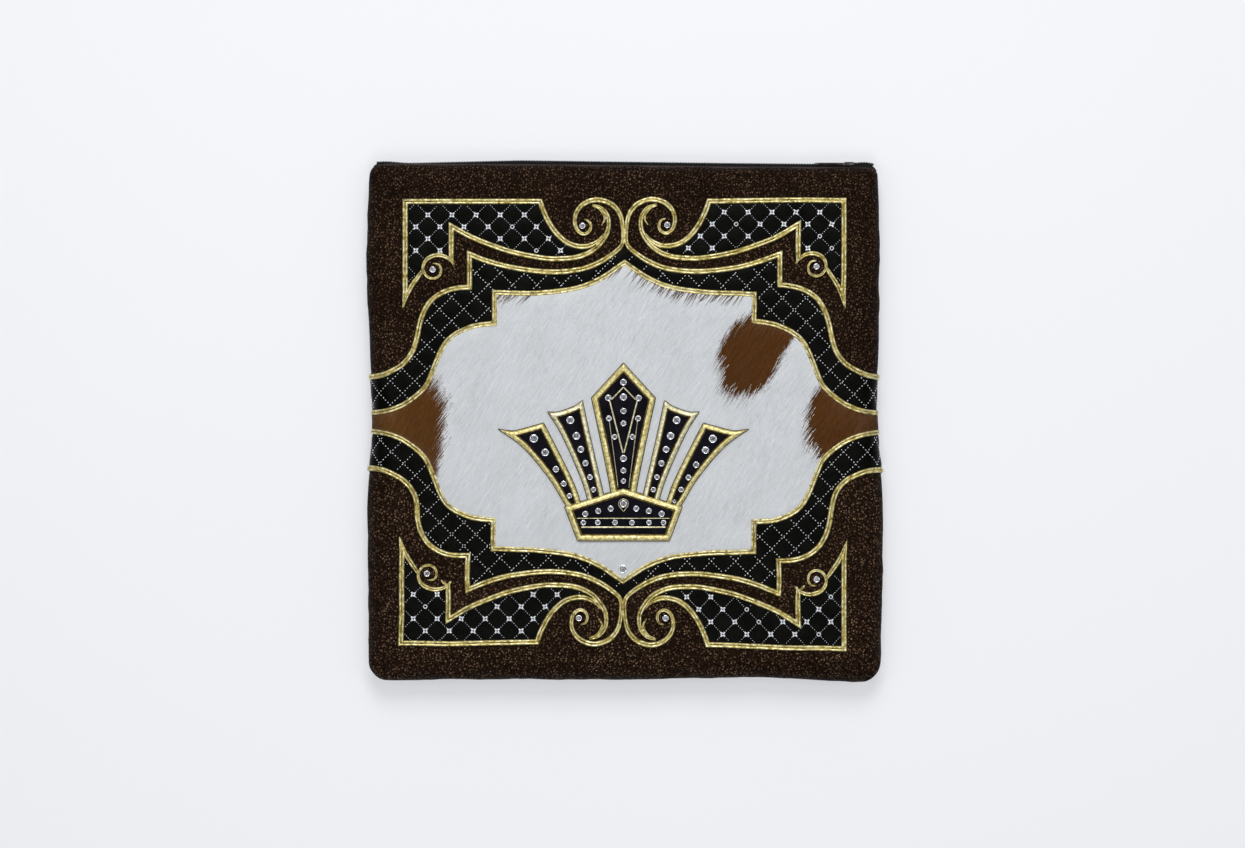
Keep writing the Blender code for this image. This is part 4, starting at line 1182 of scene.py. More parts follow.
def shell_grid(front):
    """The outside of one half of the bag, as rings of points from the seam to the flat."""
    sign = 1 if front else -1
    full = (FRONT_RISE if front else SEAM_Z) - GAP / 2
    rows = []
    for turn in np.linspace(0, math.pi / 2, RIM_RINGS + 1):
        climb = full * math.sin(turn)
        groove = SEAM_GROOVE * math.exp(-climb / GROOVE_DEPTH)
        rows.append((ring(RIM * (1 - math.cos(turn)) + groove * math.cos(turn)), climb))
    for share in np.linspace(1, 0.03, FLAT_RINGS)[1:]:
        inner = ring(RIM)
        inner[:, :2] *= share
        rows.append((inner, full))
    grid = []
    for points, climb in rows:
        x, y = points[:, 0], points[:, 1]
        across = np.copysign(side_inset(x, y) * np.abs(x / HALF_WIDTH) ** 3, x)
        along = np.copysign(end_inset(x, y) * np.abs(y / HALF_HEIGHT) ** 3, y)
        x, y = x - across, y - along
        lift = mouth(x) * points[:, 2] * (1 - climb / full)
        z = SEAM_Z + sign * (GAP / 2 + climb + lift) + (crowning(x, y) if front else 0.0)
        grid.append(np.stack([x, y, z], -1))
    return np.array(grid)


def grid_normals(grid, sign):
    """Outward normals of a grid of closed rings."""
    around = np.roll(grid, -1, axis=1) - np.roll(grid, 1, axis=1)
    inward = np.gradient(grid, axis=0)
    normal = np.cross(around, inward) * sign
    return normal / np.maximum(np.linalg.norm(normal, axis=2), 1e-9)[..., None]


def shell(name, front, look, replaces):
    """A hollow half of the bag with soft dents along its rims."""
    sign = 1 if front else -1
    grid = shell_grid(front)
    normals = grid_normals(grid, sign).reshape(-1, 3)
    flat = grid.reshape(-1, 3)
    past = np.maximum(np.abs(flat[:, 0]) / (HALF_WIDTH - RIM), np.abs(flat[:, 1]) / (HALF_HEIGHT - RIM))
    loose = np.clip((past - 0.97) / 0.07, 0, 1) * np.clip((np.abs(flat[:, 1]) - 62) / 18, 0, 1)
    soft = np.zeros(len(flat))
    for depth, size, slant, seed in DENTS:
        soft += depth * noise(flat[:, :2] + slant * flat[:, 2:], seed if front else seed + 1, size)
    soft = np.where(past < (0.97 if front else 0.9), 0.0, soft)
    outside = flat + normals * (soft * loose)[:, None]
    rows, columns = grid.shape[:2]
    middle_z = SEAM_Z + sign * (FRONT_RISE if front else SEAM_Z) + (FRONT_CROWN if front else 0.0)
    middle = np.array([[0.0, 0.0, middle_z]])
    points = np.vstack([outside, flat - normals * WALL, middle, middle - (0, 0, sign * WALL)])
    half = rows * columns
    outer, inner = grid_faces(rows, columns), grid_faces(rows, columns, half)[:, ::-1]
    around = np.arange(columns)
    following = (around + 1) % columns
    last = (rows - 1) * columns
    cap = np.stack([last + around, last + following, np.full(columns, 2 * half)], -1)
    lid = np.stack([half + last + following, half + last + around, np.full(columns, 2 * half + 1)], -1)
    lip = np.stack([half + around, half + following, following, around], -1)
    faces = [np.vstack([outer, inner, lip]), np.vstack([cap, lid])]
    if not front:
        faces = [f[:, ::-1] for f in faces]
    return add_piece(name, points, faces, [look], slot="brown_leather", replaces=replaces)


# The section of the gold trims: share of their half width, share of their height
TRIM_SPACING = 1.5
EDGE_LOOK = 1
GROOVE_LOOK = 2
FLANGE = 1.26
DOUBLE_RIDGE = (
    (-FLANGE, 0.0),
    (-0.98, 0.34),
    (-0.9, 0.6),
    (-0.72, 0.93),
    (-0.48, 1.0),
    (-0.2, 0.76),
    (0.0, 0.55),
    (0.2, 0.76),
    (0.48, 1.0),
    (0.72, 0.93),
    (0.9, 0.6),
    (0.98, 0.34),
    (FLANGE, 0.0),
)


def trim_mesh(lines):
    """Points, quads, caps and each quad's look, of trims that follow lines of stations."""
    shape = np.array(DOUBLE_RIDGE)
    wide = len(shape)
    # The outermost facets take the dark outline, partly a dark piped edge and partly painted shade; the two
    # middle ones take the groove's painted shade
    look_row = np.zeros(wide, int)
    look_row[[0, wide - 2, wide - 1]] = EDGE_LOOK
    look_row[[wide // 2 - 1, wide // 2]] = GROOVE_LOOK
    points, quads, caps, indices = [], [], [], []
    first = 0
    for line in lines:
        line = line[clear_of_seams(line, TRIM_SEAM_CLEAR)]
        across = mitred(line) * (line[:, 2:3] / 2)
        high = TRIM_HEIGHT * np.clip(line[:, 2] / 3.2, 0.4, 1.0)
        crease = rng.normal(0, 0.055, (len(line), wide)) * (shape[:, 1] > 0.6)
        flat = line[:, None, :2] + across[:, None] * shape[None, :, :1]
        height = GAP + high[:, None] * (shape[None, :, 1] + crease)
        points.append(above(flat.reshape(-1, 2), height.ravel()))
        quads.append(grid_faces(len(line), wide, first))
        indices.append(np.tile(look_row, len(line) - 1))
        last = first + (len(line) - 1) * wide
        caps.append(np.arange(first, first + wide)[::-1])
        caps.append(np.arange(last, last + wide))
        first += len(line) * wide
    return np.vstack(points), np.vstack(quads), np.array(caps), np.concatenate(indices)


def trim_piece(name, lines, looks, replaces):
    """A gold trim as one piece."""
    points, quads, caps, indices = trim_mesh(lines)
    if faces_down(points, quads[0]):
        quads, caps = quads[:, ::-1], caps[:, ::-1]
    indices = np.concatenate([indices, np.full(len(caps), EDGE_LOOK)])
    return add_piece(name, points, [quads, caps], looks, indices, slot="gold_trim", replaces=replaces)


def quarter_runs(quarter, *runs):
    """Smooth runs, placed in a quarter."""
    return [placed(quarter, smooth(rows)) for rows in runs]


def band_trims(looks):
    """Gold lines along both edges of the upper and lower bands."""
    step_out = (BAND_OUTER_SIDE[-1], BAND_OUTER_SWEEP[0])
    step_in = (BAND_INNER_SIDE[-1], BAND_INNER_SWEEP[0])
    for name, *quarters in BANDS:
        outer = [quarter_runs(q, BAND_OUTER_SIDE, step_out, BAND_OUTER_SWEEP) for q in quarters]
        lines = [stations(runs, TRIM_SPACING) for runs in outer]
        trim_piece(f"gold_outer_{name}", lines, looks, (f"trim_outer_{name}",))
        left, right = (quarter_runs(q, BAND_INNER_SIDE, step_in, BAND_INNER_SWEEP) for q in quarters)
        line = stations(left + [run[::-1] for run in right[::-1]], TRIM_SPACING)
        trim_piece(f"gold_inner_{name}", [line], looks, (f"trim_inner_{name}",))


def frame_trims(looks):
    """The gold frame and scrolls of each corner panel."""
    chains = (FRAME_OUTLINE, (FRAME_TAIL,), (FRAME_CURL,), (FRAME_STEP, FRAME_SWEEP), (FRAME_COMMA,))
    for quarter in QUARTERS:
        spur = ((FRAME_SPUR,),) if quarter[0] == "b" else ()
        lines = [stations(quarter_runs(quarter, *runs), TRIM_SPACING) for runs in chains + spur]
        trim_piece(f"gold_frame_{quarter}", lines, looks, (f"frame_{quarter}",))


def joined(*runs):
    """The plain middle line of smooth runs."""
    return np.vstack([smooth([row[:2] for row in rows], 2.0) for rows in runs])


def corner_loop():
    """The edge of a corner panel, along the middle of its gold frame."""
    curl = joined(FRAME_CURL[:CURL_ROUND])[::-1]
    sweep = joined(FRAME_SWEEP[:SWEEP_TO_VOLUTE])
    return np.vstack([joined(*FRAME_OUTLINE, FRAME_TAIL), curl, [FRAME_STEP[0][:2]], sweep])


def band_loop(left, right):
    """The edge of a band, along the middle of its gold lines."""
    sweep = [row for row in BAND_OUTER_SWEEP if row[1] < VOLUTE_FROM]
    outer = np.vstack([joined(BAND_OUTER_SIDE, sweep), [(0.0, BAND_MIDDLE_UP)]])
    inner = joined(BAND_INNER_SIDE, BAND_INNER_SWEEP)
    upper = [placed(left, outer), placed(right, outer[::-1])]
    return np.vstack([*upper, placed(right, inner), placed(left, inner[::-1])])


def hide_loop():
    """The edge of the hide, along the middle of the bands' inner lines."""
    inner = joined(BAND_INNER_SIDE, BAND_INNER_SWEEP)
    upper = [placed("tl", inner), placed("tr", inner[::-1])]
    return np.vstack([*upper, placed("br", inner), placed("bl", inner[::-1])])


def past_seams():
    """Loops round what lies past each side seam."""
    rows = np.linspace(-BAND_REACH, BAND_REACH, BAND_STATIONS)
    loops = []
    for side in (-1, 1):
        reach = plateau_edge(np.full(BAND_STATIONS, side), rows) + RIM_ARCS[-1]
        edge = side * (reach - SHEET_SEAM_CLEAR)
        far = side * (SEAM + 5)
        loops.append(np.vstack([np.stack([edge, rows], -1), [(far, BAND_REACH), (far, -BAND_REACH)]]))
    return loops


def lattice(table, points):
    """Lattice coordinates of points: a stitched line runs where either is an even number."""
    x0, y0, half_x, half_y = table
    across, up = (points[:, 0] - x0) / half_x, (points[:, 1] - y0) / half_y
    return across + up, across - up


def lattice_points(table, first, second):
    """The points at these lattice coordinates."""
    x0, y0, half_x, half_y = table
    x = x0 + (first + second).ravel() / 2 * half_x
    y = y0 + (first - second).ravel() / 2 * half_y
    return np.stack([x, y], -1)


def lattice_spots(table, loop):
    """Points on a fine grid that the stitched lines follow, inside a loop."""
    count = int(GRID_REACH / table[2]) * QUILT_STEPS // 2
    steps = np.arange(-count, count + 1) * 2 / QUILT_STEPS
    return clear_inside(lattice_points(table, *np.meshgrid(steps, steps)), loop, loop, GRID_CLEAR)


def puff(first, second):
    """How far a quilted diamond swells, from 0 on its stitched lines to 1 in its middle."""
    return np.abs(np.sin(math.pi / 2 * first) * np.sin(math.pi / 2 * second)) ** 0.45


def plate(name, area, low, top, look, slot, replaces):
    """A closed sheet on the leather, from flat triangles and the heights of its two sides."""
    flat, faces = area
    count = len(flat)
    points = np.vstack([above(flat, low), above(flat, top)])
    wall = open_edges(faces)
    sides = np.stack([wall[:, 0], wall[:, 1], wall[:, 1] + count, wall[:, 0] + count], -1)
    solid = [np.vstack([faces[:, ::-1], faces + count]), sides]
    return add_piece(name, points, solid, [look], slot=slot, replaces=replaces)


def quilted(name, loop, lattices, cut, look, replaces, puffing):
    """A quilted leather panel. It gives the panel's stitches and crossings."""
    spots = []
    for side, table in lattices:
        part = lattice_spots(table, loop)
        spots.append(part[part[:, 0] * side > 0.5] if side else part)
    flat, faces = region([loop], cut, np.vstack(spots))
    swell = np.zeros(len(flat))
    for side, table in lattices:
        mine = flat[:, 0] * side >= 0
        swell[mine] = puff(*lattice(table, flat[mine]))
    rise = np.clip(edge_distance(flat, smooth_loop(loop)) / QUILT_EDGE, 0, 1)
    rise = QUILT_LOW + (1 - QUILT_LOW) * rise * rise * (3 - 2 * rise)
    top = GAP + (SHEET_TOP - puffing + puffing * swell) * rise
    piece = plate(name, (flat, faces), SHEET_LOW, top, look, "black_leather", replaces)
    found = [stitch_places(table, loop, side) for side, table in lattices]
    return [np.vstack(rows) for rows in zip(*found)]


def stitch_places(table, loop, side):
    """Stitches along the lattice as x, y and angle, and its crossings as x and y."""
    half_x, half_y = table[2:]
    pitch = STITCH_PITCH if side else SMALL_PITCH
    unit = math.hypot(half_x, half_y) / 2
    reach = 2 * int(STITCH_REACH / half_x / 2)
    steps = np.arange(-reach * unit, reach * unit, pitch) / unit + 0.5 * pitch / unit
    evens = np.arange(-reach, reach + 1, 2)
    first, second = np.meshgrid(evens, steps)
    rows = []
    for way, pair in ((1, (first, second)), (-1, (second, first))):
        spots = lattice_points(table, *pair)
        angle = np.full(len(spots), math.atan2(-way * half_y, half_x))
        rows.append(np.column_stack([spots, angle]))
    crossings = lattice_points(table, *np.meshgrid(evens, evens))
    kept = []
    for found, margin in ((np.vstack(rows), STITCH_CLEAR), (crossings, CROSSING_CLEAR)):
        if side:
            found = found[found[:, 0] * side > 1.0]
        found = found[clear_of_seams(found, SEAM_CLEAR)]
        kept.append(clear_inside(found, loop, smooth_loop(loop), margin))
    return kept


def beads(places, height, size, sides=6):
    """Small rounded grains lying at x, y and angle, as points and triangles."""
    long, wide, high = size
    along = direction(places[:, 2])
    beside = np.stack([-along[:, 1], along[:, 0]], -1)
    rings = []
    for share in (-0.62, 0.62):
        for cosine, sine in circle(sides) * 0.8:
            flat = places[:, :2] + along * long * share + beside * wide * cosine
            rings.append(above(flat, height + high * sine))
    tips = [above(places[:, :2] + along * long * way, height) for way in (-1, 1)]
    points = np.stack([*rings, *tips], 1)
    faces = []
    for i in range(sides):
        j = (i + 1) % sides
        faces += [(i, j, sides + j), (i, sides + j, sides + i)]
        faces += [(2 * sides, j, i), (2 * sides + 1, sides + i, sides + j)]
    return points.reshape(-1, 3), repeated(faces, len(places), 2 * sides + 2)


# A flower's reach, the half length, half width and height of its grains, and the share of rings
FLOWER_REACH = 1.5
PETAL = (0.9, 0.74, 0.5)
GRAIN = (0.55, 0.5, 0.45)
RING_SHARE = 0.12


def blossoms(crossings):
    """A small sewn flower at each crossing, and at some of them a ring."""
    parts = []
    tilt = rng.normal(0, 0.1, len(crossings))
    ringed = rng.uniform(0, 1, len(crossings)) < RING_SHARE
    flowers, rings = crossings[~ringed], crossings[ringed]
    for number in range(8):
        angle = tilt + number * math.pi / 4
        way = FLOWER_REACH * direction(angle)
        reach, size, sides = (1.0, PETAL, 8) if number % 2 else (0.62, GRAIN, 6)
        spot = flowers + reach * way[~ringed]
        parts.append(beads(np.column_stack([spot, angle[~ringed]]), SHEET_TOP + 0.15, size, sides))
        spot = rings + 0.8 * way[ringed]
        parts.append(beads(np.column_stack([spot, angle[ringed] + math.pi / 2]), SHEET_TOP + 0.1, GRAIN))
    return parts


def quilting(leather_look, thread):
    """The bands and corner panels with their stitches and small flowers."""
    stitches, small, flowers = [], [], []
    for name, left, right in BANDS:
        lattices = ((-1, BAND_LATTICE[left]), (1, BAND_LATTICE[right]))
        area = (band_loop(left, right), lattices, past_seams())
        found = quilted(f"quilt_{name}", *area, leather_look, (f"band_{name}",), QUILT_PUFF)
        stitches.append(found[0])
    for quarter in QUARTERS:
        area = (placed(quarter, corner_loop()), ((0, CORNER_LATTICE[quarter]),), ())
        replaces = (f"corner_panel_{quarter}",)
        lines, crossings = quilted(f"quilt_corner_{quarter}", *area, leather_look, replaces, CORNER_PUFF)
        small.append(lines[edge_distance(lines[:, :2], crossings) > FLOWER_REACH + 0.8])
        flowers.append(crossings)
    parts = []
    for found, size in ((stitches, STITCH), (small, SMALL_STITCH)):
        places = np.vstack(found)
        places = places + rng.normal(0, 0.05, places.shape) * (1, 1, 1.2)
        parts.append(beads(places, GAP + SHEET_TOP - QUILT_PUFF + 0.3, size))
    add_merged("quilt_stitches", parts, thread)
    add_merged("quilt_flowers", blossoms(np.vstack(flowers)), thread)


def is_brown(points):
    """Whether the hide is brown at each flat point."""
    brown = np.zeros(len(points), bool)
    shifted = points + 1.1 * np.stack([noise(points, 31, 5.0), noise(points, 32, 5.0)], -1)
    for patch in (PATCH_UPPER_RIGHT, PATCH_RIGHT, PATCH_LEFT):
        brown |= inside(shifted, patch)
    return brown


def hide_height(flat):
    """The gently uneven height of the hide above the leather."""
    return GAP + HIDE_TOP + 0.08 * noise(flat, 21, 14.0)


def hide_tones(points, brown, spread):
    """A colour for each point or hair, white or brown, with soft variations."""
    tone = noise(points, 41, 22.0)[:, None] * 0.022 + rng.normal(0, spread, (len(points), 1))
    left = np.clip((-points[:, :1] - 100) / 60, 0, 1)
    earth = np.array(BROWN_HAIR) * (1 - left) + np.array(LEFT_BROWN) * left
    earth = earth * np.clip(1 + 2.5 * tone, 0.3, 2.0)
    return np.where(brown[:, None], earth, np.array(WHITE_HAIR) * (1 + tone))


def hide_sheet(loop, skin):
    """The hide's skin, coloured like the hair over it. It gives the skin's flat area."""
    flat, faces = region([loop], past_seams(), inner_spots(loop, HIDE_GRID, HIDE_GRID / 2))
    top = hide_height(flat)
    piece = plate("hide_skin", (flat, faces), SHEET_LOW, top, skin, "cowhide", ("cowhide_field",))
    tones = hide_tones(flat, is_brown(flat), 0.0)
    paint(piece, np.vstack([tones, tones]))
    corners = flat[faces]
    first, second = corners[:, 1] - corners[:, 0], corners[:, 2] - corners[:, 0]
    cut = float(np.abs(first[:, 0] * second[:, 1] - first[:, 1] * second[:, 0]).sum()) / 2
    return cut


def hide(skin, hair_look):
    """The cowhide: its skin, and its hair lying towards the lower left."""
    loop = hide_loop()
    edge = smooth_loop(loop)
    cut = hide_sheet(loop, skin)
    low, high = loop.min(axis=0), loop.max(axis=0)
    count = HAIRS
    roots = rng.uniform(low, high, (int(count * float(np.prod(high - low)) / cut), 2))
    roots = clear_inside(roots, loop, edge, ROOT_CLEAR)
    roots = roots[clear_of_seams(roots, SEAM_CLEAR + 0.5)]
    swirl = 0.05 * noise(roots, 51, 40.0)
    way = direction(HAIR_ANGLE + swirl + rng.normal(0, HAIR_SPREAD, len(roots)))
    length = rng.uniform(*HAIR_LENGTH, len(roots))
    stone = np.array([MIDDLE]) + [BOTTOM_STONE[:2]]

    # Hairs that would end on a gold line, past a seam or on the stone are shortened, or left out
    for _ in range(5):
        tips = roots + way * length[:, None]
        beyond = ~inside(tips, loop) | (edge_distance(tips, edge) < TIP_CLEAR)
        beyond |= ~clear_of_seams(tips, SEAM_CLEAR)
        beyond |= edge_distance(tips, stone) < BOTTOM_STONE[2] + 0.5
        length[beyond] *= 0.66
    kept = ~beyond & (length > SHORTEST_HAIR)
    roots, way, length = roots[kept], way[kept], length[kept]
    along = length[:, None] * rng.uniform(0.05, 0.75, (len(roots), 1))
    brown = is_brown(roots + way * along + rng.normal(0, 1.2, roots.shape))
    tones = hide_tones(roots, brown, 0.075)
    for name, mine in (("hair_white", ~brown), ("hair_brown", brown)):
        hair_piece(name, roots[mine], way[mine], length[mine], tones[mine], hair_look)
    fringe(hair_look)


def hair_piece(name, roots, way, length, tones, look, lift=0.0, widths=HAIR_WIDTH):
    """Hairs as slim spikes that lie nearly flat."""
    count = len(roots)
    width = rng.uniform(*widths, count)[:, None]
    beside = np.stack([-way[:, 1], way[:, 0]], -1) * width / 2
    ends = roots + way * length[:, None]
    low = hide_height(roots) + rng.uniform(-0.05, 0.08, count) + lift
    tip = hide_height(ends) + rng.uniform(0.02, 0.2, count) + 1.5 * lift
    base = [above(roots + beside, low), above(roots - beside, low), above(roots, low + HAIR_THICK)]
    points = np.stack([*base, above(ends, tip)], 1).reshape(-1, 3)
    faces = repeated([(0, 2, 1), (0, 3, 2), (2, 3, 1), (1, 3, 0)], count, 4)
    piece = add_piece(name, points, [faces], [look], smooth_shaded=False, slot="cowhide")
    paint(piece, np.repeat(tones, 4, axis=0))


# The dark hairs below the upper gold line: quarter, from and to how far out, and count
FRINGES = (("tr", 4.0, 84.0, 95), ("tl", 66.0, 88.0, 24), ("tl", 0.0, 10.0, 8))
FRINGE_WIDTH = (0.35, 0.6)
FRINGE_LENGTH = (5.0, 12.0)


def fringe(look):
    """Short dark hairs that show below the upper gold line."""
    roots = []
    for quarter, start, end, count in FRINGES:
        line = placed(quarter, joined(BAND_INNER_SWEEP))
        out = np.abs(line[:, 0])
        line = line[np.argsort(out)]
        at = rng.uniform(start, end, count)
        y = np.interp(at, np.sort(out), line[:, 1])
        roots.append(np.stack([QUARTERS[quarter][0] * at, y - 1.5], -1))
    roots = np.vstack(roots)
    way = direction(HAIR_ANGLE - 0.08 + rng.normal(0, 0.14, len(roots)))
    length = rng.uniform(*FRINGE_LENGTH, len(roots))
    shade = rng.uniform(0.04, 0.2, (len(roots), 1))
    hair_piece("hair_fringe", roots, way, length, shade * (1.0, 0.7, 0.5), look, 0.22, FRINGE_WIDTH)


def crown_point(side, out, up):
    """A point of the crown, on its left or right side."""
    return np.array([CROWN_X + side * out, MIDDLE[1] + up])


def crossing(first, second):
    """Where one line of points crosses another: how far along each, in segments."""
    a, b = first[:-1, None], first[1:, None] - first[:-1, None]
    c, d = second[None, :-1], second[None, 1:] - second[None, :-1]
    scale = b[..., 0] * d[..., 1] - b[..., 1] * d[..., 0]
    scale = np.where(np.abs(scale) < 1e-12, 1e-12, scale)
    gap = c - a
    along = (gap[..., 0] * d[..., 1] - gap[..., 1] * d[..., 0]) / scale
    beside = (gap[..., 0] * b[..., 1] - gap[..., 1] * b[..., 0]) / scale
    hits = np.argwhere((along >= 0) & (along <= 1) & (beside >= 0) & (beside <= 1))
    if len(hits) == 0:
        return len(first) - 1.0, 0.0
    i, j = hits[-1]
    return i + along[i, j], j + beside[i, j]


def inset_runs(runs, by):
    """A closed loop of runs drawn in by one width, each run with as many points as before."""
    whole = np.vstack([run[:-1] for run in runs])
    following = np.roll(whole, -1, axis=0)
    turn = 1 if (whole[:, 0] * following[:, 1] - following[:, 0] * whole[:, 1]).sum() > 0 else -1
    moved = []
    for run in runs:
        steps = np.gradient(run, axis=0)
        steps /= np.hypot(*steps.T)[:, None]
        moved.append(run + by * turn * np.stack([-steps[:, 1], steps[:, 0]], -1))
    cuts = [crossing(run, after) for run, after in zip(moved, moved[1:] + moved[:1])]
    drawn = []
    for number, run in enumerate(moved):
        start, end = cuts[number - 1][1], cuts[number][0]
        at = np.linspace(start, end, len(run))
        places = np.arange(len(run))
        drawn.append(np.stack([np.interp(at, places, run[:, k]) for k in (0, 1)], -1))
    if by < 0:
        drawn = [np.vstack([(a[-1] + b[0]) / 2, b[1:]]) for a, b in zip(drawn[-1:] + drawn[:-1], drawn)]
    return np.vstack([run[:-1] for run in drawn])


# The section of the crown's gold outlines: share of the bar's width, share of its height
BAR_SPACING = 1.0
BAR_SHAPE = (
    (-0.25, 0.0),
    (0.06, 0.5),
    (0.26, 0.82),
    (0.46, 0.97),
    (0.62, 1.0),
    (0.76, 0.9),
    (0.9, 0.62),
    (1.02, 0.3),
    (1.06, -0.1),
)
OUTER_EDGES = 1
INNER_EDGES = 3
BASE_BAR_TALLER = 1.12


def crown_runs(side, runs):
    """The smooth runs of a piece of the crown, placed on one side."""
    return [smooth(rows, BAR_SPACING) * (side, 1) + (CROWN_X, MIDDLE[1]) for rows in runs]


def mirrored(runs):
    """The same runs on the crown's other side, in the order that closes the loop."""
    return [run[::-1] * (-1, 1) + (2 * CROWN_X, 0) for run in runs[::-1]]


def sunk(flat, height, under):
    """Heights above the leather, lowered where a ray runs under the crown's base."""
    if not under:
        return CROWN_LOW + height
    line = MIDDLE[1] + CROWN_BASE[0][1] - BASE_SLOPE * np.abs(flat[:, 0] - CROWN_X)
    share = np.clip((flat[:, 1] - line + 2.6) / 2.0, 0.0, 1.0)
    return CROWN_LOW + height * share - 0.6 * (1 - share)


def crown_bar(name, runs, bar, looks, under, replaces):
    """One gold outline of the crown, mitred at its corners."""
    points = []
    scale = CROWN_BAR_HEIGHT * (1.0 if under else BASE_BAR_TALLER)
    for share, high in BAR_SHAPE:
        flat = inset_runs(runs, bar * share if share > 0 else share)
        points.append(above(flat, sunk(flat, np.full(len(flat), high * scale), under)))
    rows, columns = len(points), len(points[0])
    points, quads = np.vstack(points), ring_faces(rows, columns)
    # The outer rows take the dark outline, partly painted shade, and the inner rows the shaded gold,
    # painted shade along the bars' inner edges
    indices = np.zeros(len(quads), int)
    indices[: OUTER_EDGES * columns] = 1
    indices[(rows - 1 - INNER_EDGES) * columns :] = 2
    if faces_down(points, quads[0]):
        quads = quads[:, ::-1]
    return add_piece(name, points, [quads], looks, indices, slot="gold_trim", replaces=replaces)


def crown_panel(name, runs, bar, look, under, replaces):
    """One black panel of the crown, gently domed."""
    edge = inset_runs(runs, bar * 0.7)[::2]
    flat, faces = region([edge], (), inner_spots(edge, 2.0, 0.8))
    near = np.clip(edge_distance(flat, smooth_loop(edge)) / 4.0, 0, 1)
    low = sunk(flat, np.zeros(len(flat)), under)
    top = sunk(flat, CROWN_PANEL * (0.7 + 0.3 * near), under) + 0.02
    return plate(name, (flat, faces), low, top, look, "crown_leather", replaces)


# The stones: shares of the radius and heights, and the rim's section
STONE_SIDES = 16
GIRDLE_SHARE = 0.73
TABLE_SHARE = 0.4
STONE_LOW = 0.1
STONE_WALL = 0.55
STONE_RISE = 0.28
SETTING = ((1.0, 0.0), (1.02, 0.45), (0.95, 0.75), (0.84, 0.85), (0.74, 0.75), (0.70, 0.45))


def setting_mesh(middle, radius, base):
    """The rim that holds a stone."""
    flat = np.vstack([middle + circle(STONE_SIDES) * radius * share for share, _ in SETTING])
    height = np.repeat([base + high for _, high in SETTING], STONE_SIDES)
    return above(flat, height), halved(ring_faces(len(SETTING), STONE_SIDES))


def cut_meshes(middle, radius, base):
    """A cut stone with its facets, turned by chance, and its table."""
    turned = rng.uniform(0, math.pi / 8)
    spin = np.array([[math.cos(turned), -math.sin(turned)], [math.sin(turned), math.cos(turned)]])
    girdle = circle(STONE_SIDES) @ spin * radius * GIRDLE_SHARE + middle
    octagon = circle(8, 0.5) @ spin * radius * TABLE_SHARE + middle
    heights = (base + STONE_LOW, base + STONE_WALL, base + STONE_WALL + STONE_RISE * radius)
    points = np.vstack([above(flat, high) for flat, high in zip((girdle, girdle, octagon), heights)])
    n = STONE_SIDES
    i, k = np.arange(n), np.arange(8)
    j, after = (i + 1) % n, (k + 1) % 8
    wall = [np.stack([i, j, n + j], -1), np.stack([i, n + j, n + i], -1)]
    slopes = np.stack([n + i, n + j, 2 * n + i // 2], -1)
    kites = np.stack([n + (2 * k + 2) % n, 2 * n + after, 2 * n + k], -1)
    facets = np.vstack([*wall, slopes, kites, fan(n)[:, [0, 2, 1]]])
    rim = [np.stack([8 + k, 8 + after, after], -1), np.stack([8 + k, after, k], -1)]
    table = np.vstack([points[2 * n :], points[2 * n :] - (0, 0, 0.05)]) + (0, 0, 0.03)
    return (points, facets), (table, np.vstack([fan(8), fan(8)[:, ::-1] + 8, *rim]))


def add_stones(name, rows, base, looks, replaces=()):
    """Stones at x, y and radius, standing at a height above the leather, in three pieces."""
    metal, clear, table_look = looks
    settings, facets, tables = [], [], []
    for *middle, radius in rows:
        settings.append(setting_mesh(np.array(middle), radius, base))
        cut, table = cut_meshes(np.array(middle), radius, base)
        facets.append(cut)
        tables.append(table)
    crystal = {"smooth_shaded": False, "slot": "crystal"}
    add_merged(f"{name}_settings", settings, metal)
    add_merged(f"{name}_stones", facets, clear, replaces=replaces, **crystal)
    add_merged(f"{name}_stone_tables", tables, table_look, **crystal)


def stones(metal, clear, dark):
    """All the stones, in the crown, in the scrolls and at the bottom of the hide."""
    rows = []
    for table, sides in CROWN_STONES:
        for out, up, radius in table:
            for side in sides if out > 0 else (1,):
                rows.append((*crown_point(side, out, up), radius))
    add_stones("crown", rows, CROWN_LOW + CROWN_PANEL - 0.1, (metal, clear, dark))
    rows, replaced = [], []
    for quarter in QUARTERS:
        for kind, eye in (("scroll", VOLUTE_EYE), ("curl", CURL_EYE)):
            rows.append((*placed(quarter, [eye])[0], EYE_RADIUS))
            replaced.append(f"stone_{kind}_{quarter}")
    rows.append((MIDDLE[0] + BOTTOM_STONE[0], MIDDLE[1] + BOTTOM_STONE[1], BOTTOM_STONE[2]))
    replaced.append("stone_bottom")
    add_stones("scroll", rows, GAP + 0.9, (metal, clear, clear), replaced)


def ribbon(ends, base):
    """A slim rounded line on the leather, as points and triangles."""
    shape = np.array(RIBBON)
    line = spaced(ends, 1.0)
    across = mitred(line) * (line[:, 2:3] / 2)
    flat = line[:, None, :2] + across[:, None] * shape[None, :, :1]
    height = np.broadcast_to(base + shape[None, :, 1], flat.shape[:2])
    points = above(flat.reshape(-1, 2), height.ravel())
    quads = grid_faces(len(line), len(shape))
    if faces_down(points, quads[0]):
        quads = quads[:, ::-1]
    far_cap = fan(len(shape), (len(line) - 1) * len(shape))[:, [0, 2, 1]]
    return points, np.vstack([halved(quads), fan(len(shape)), far_cap])


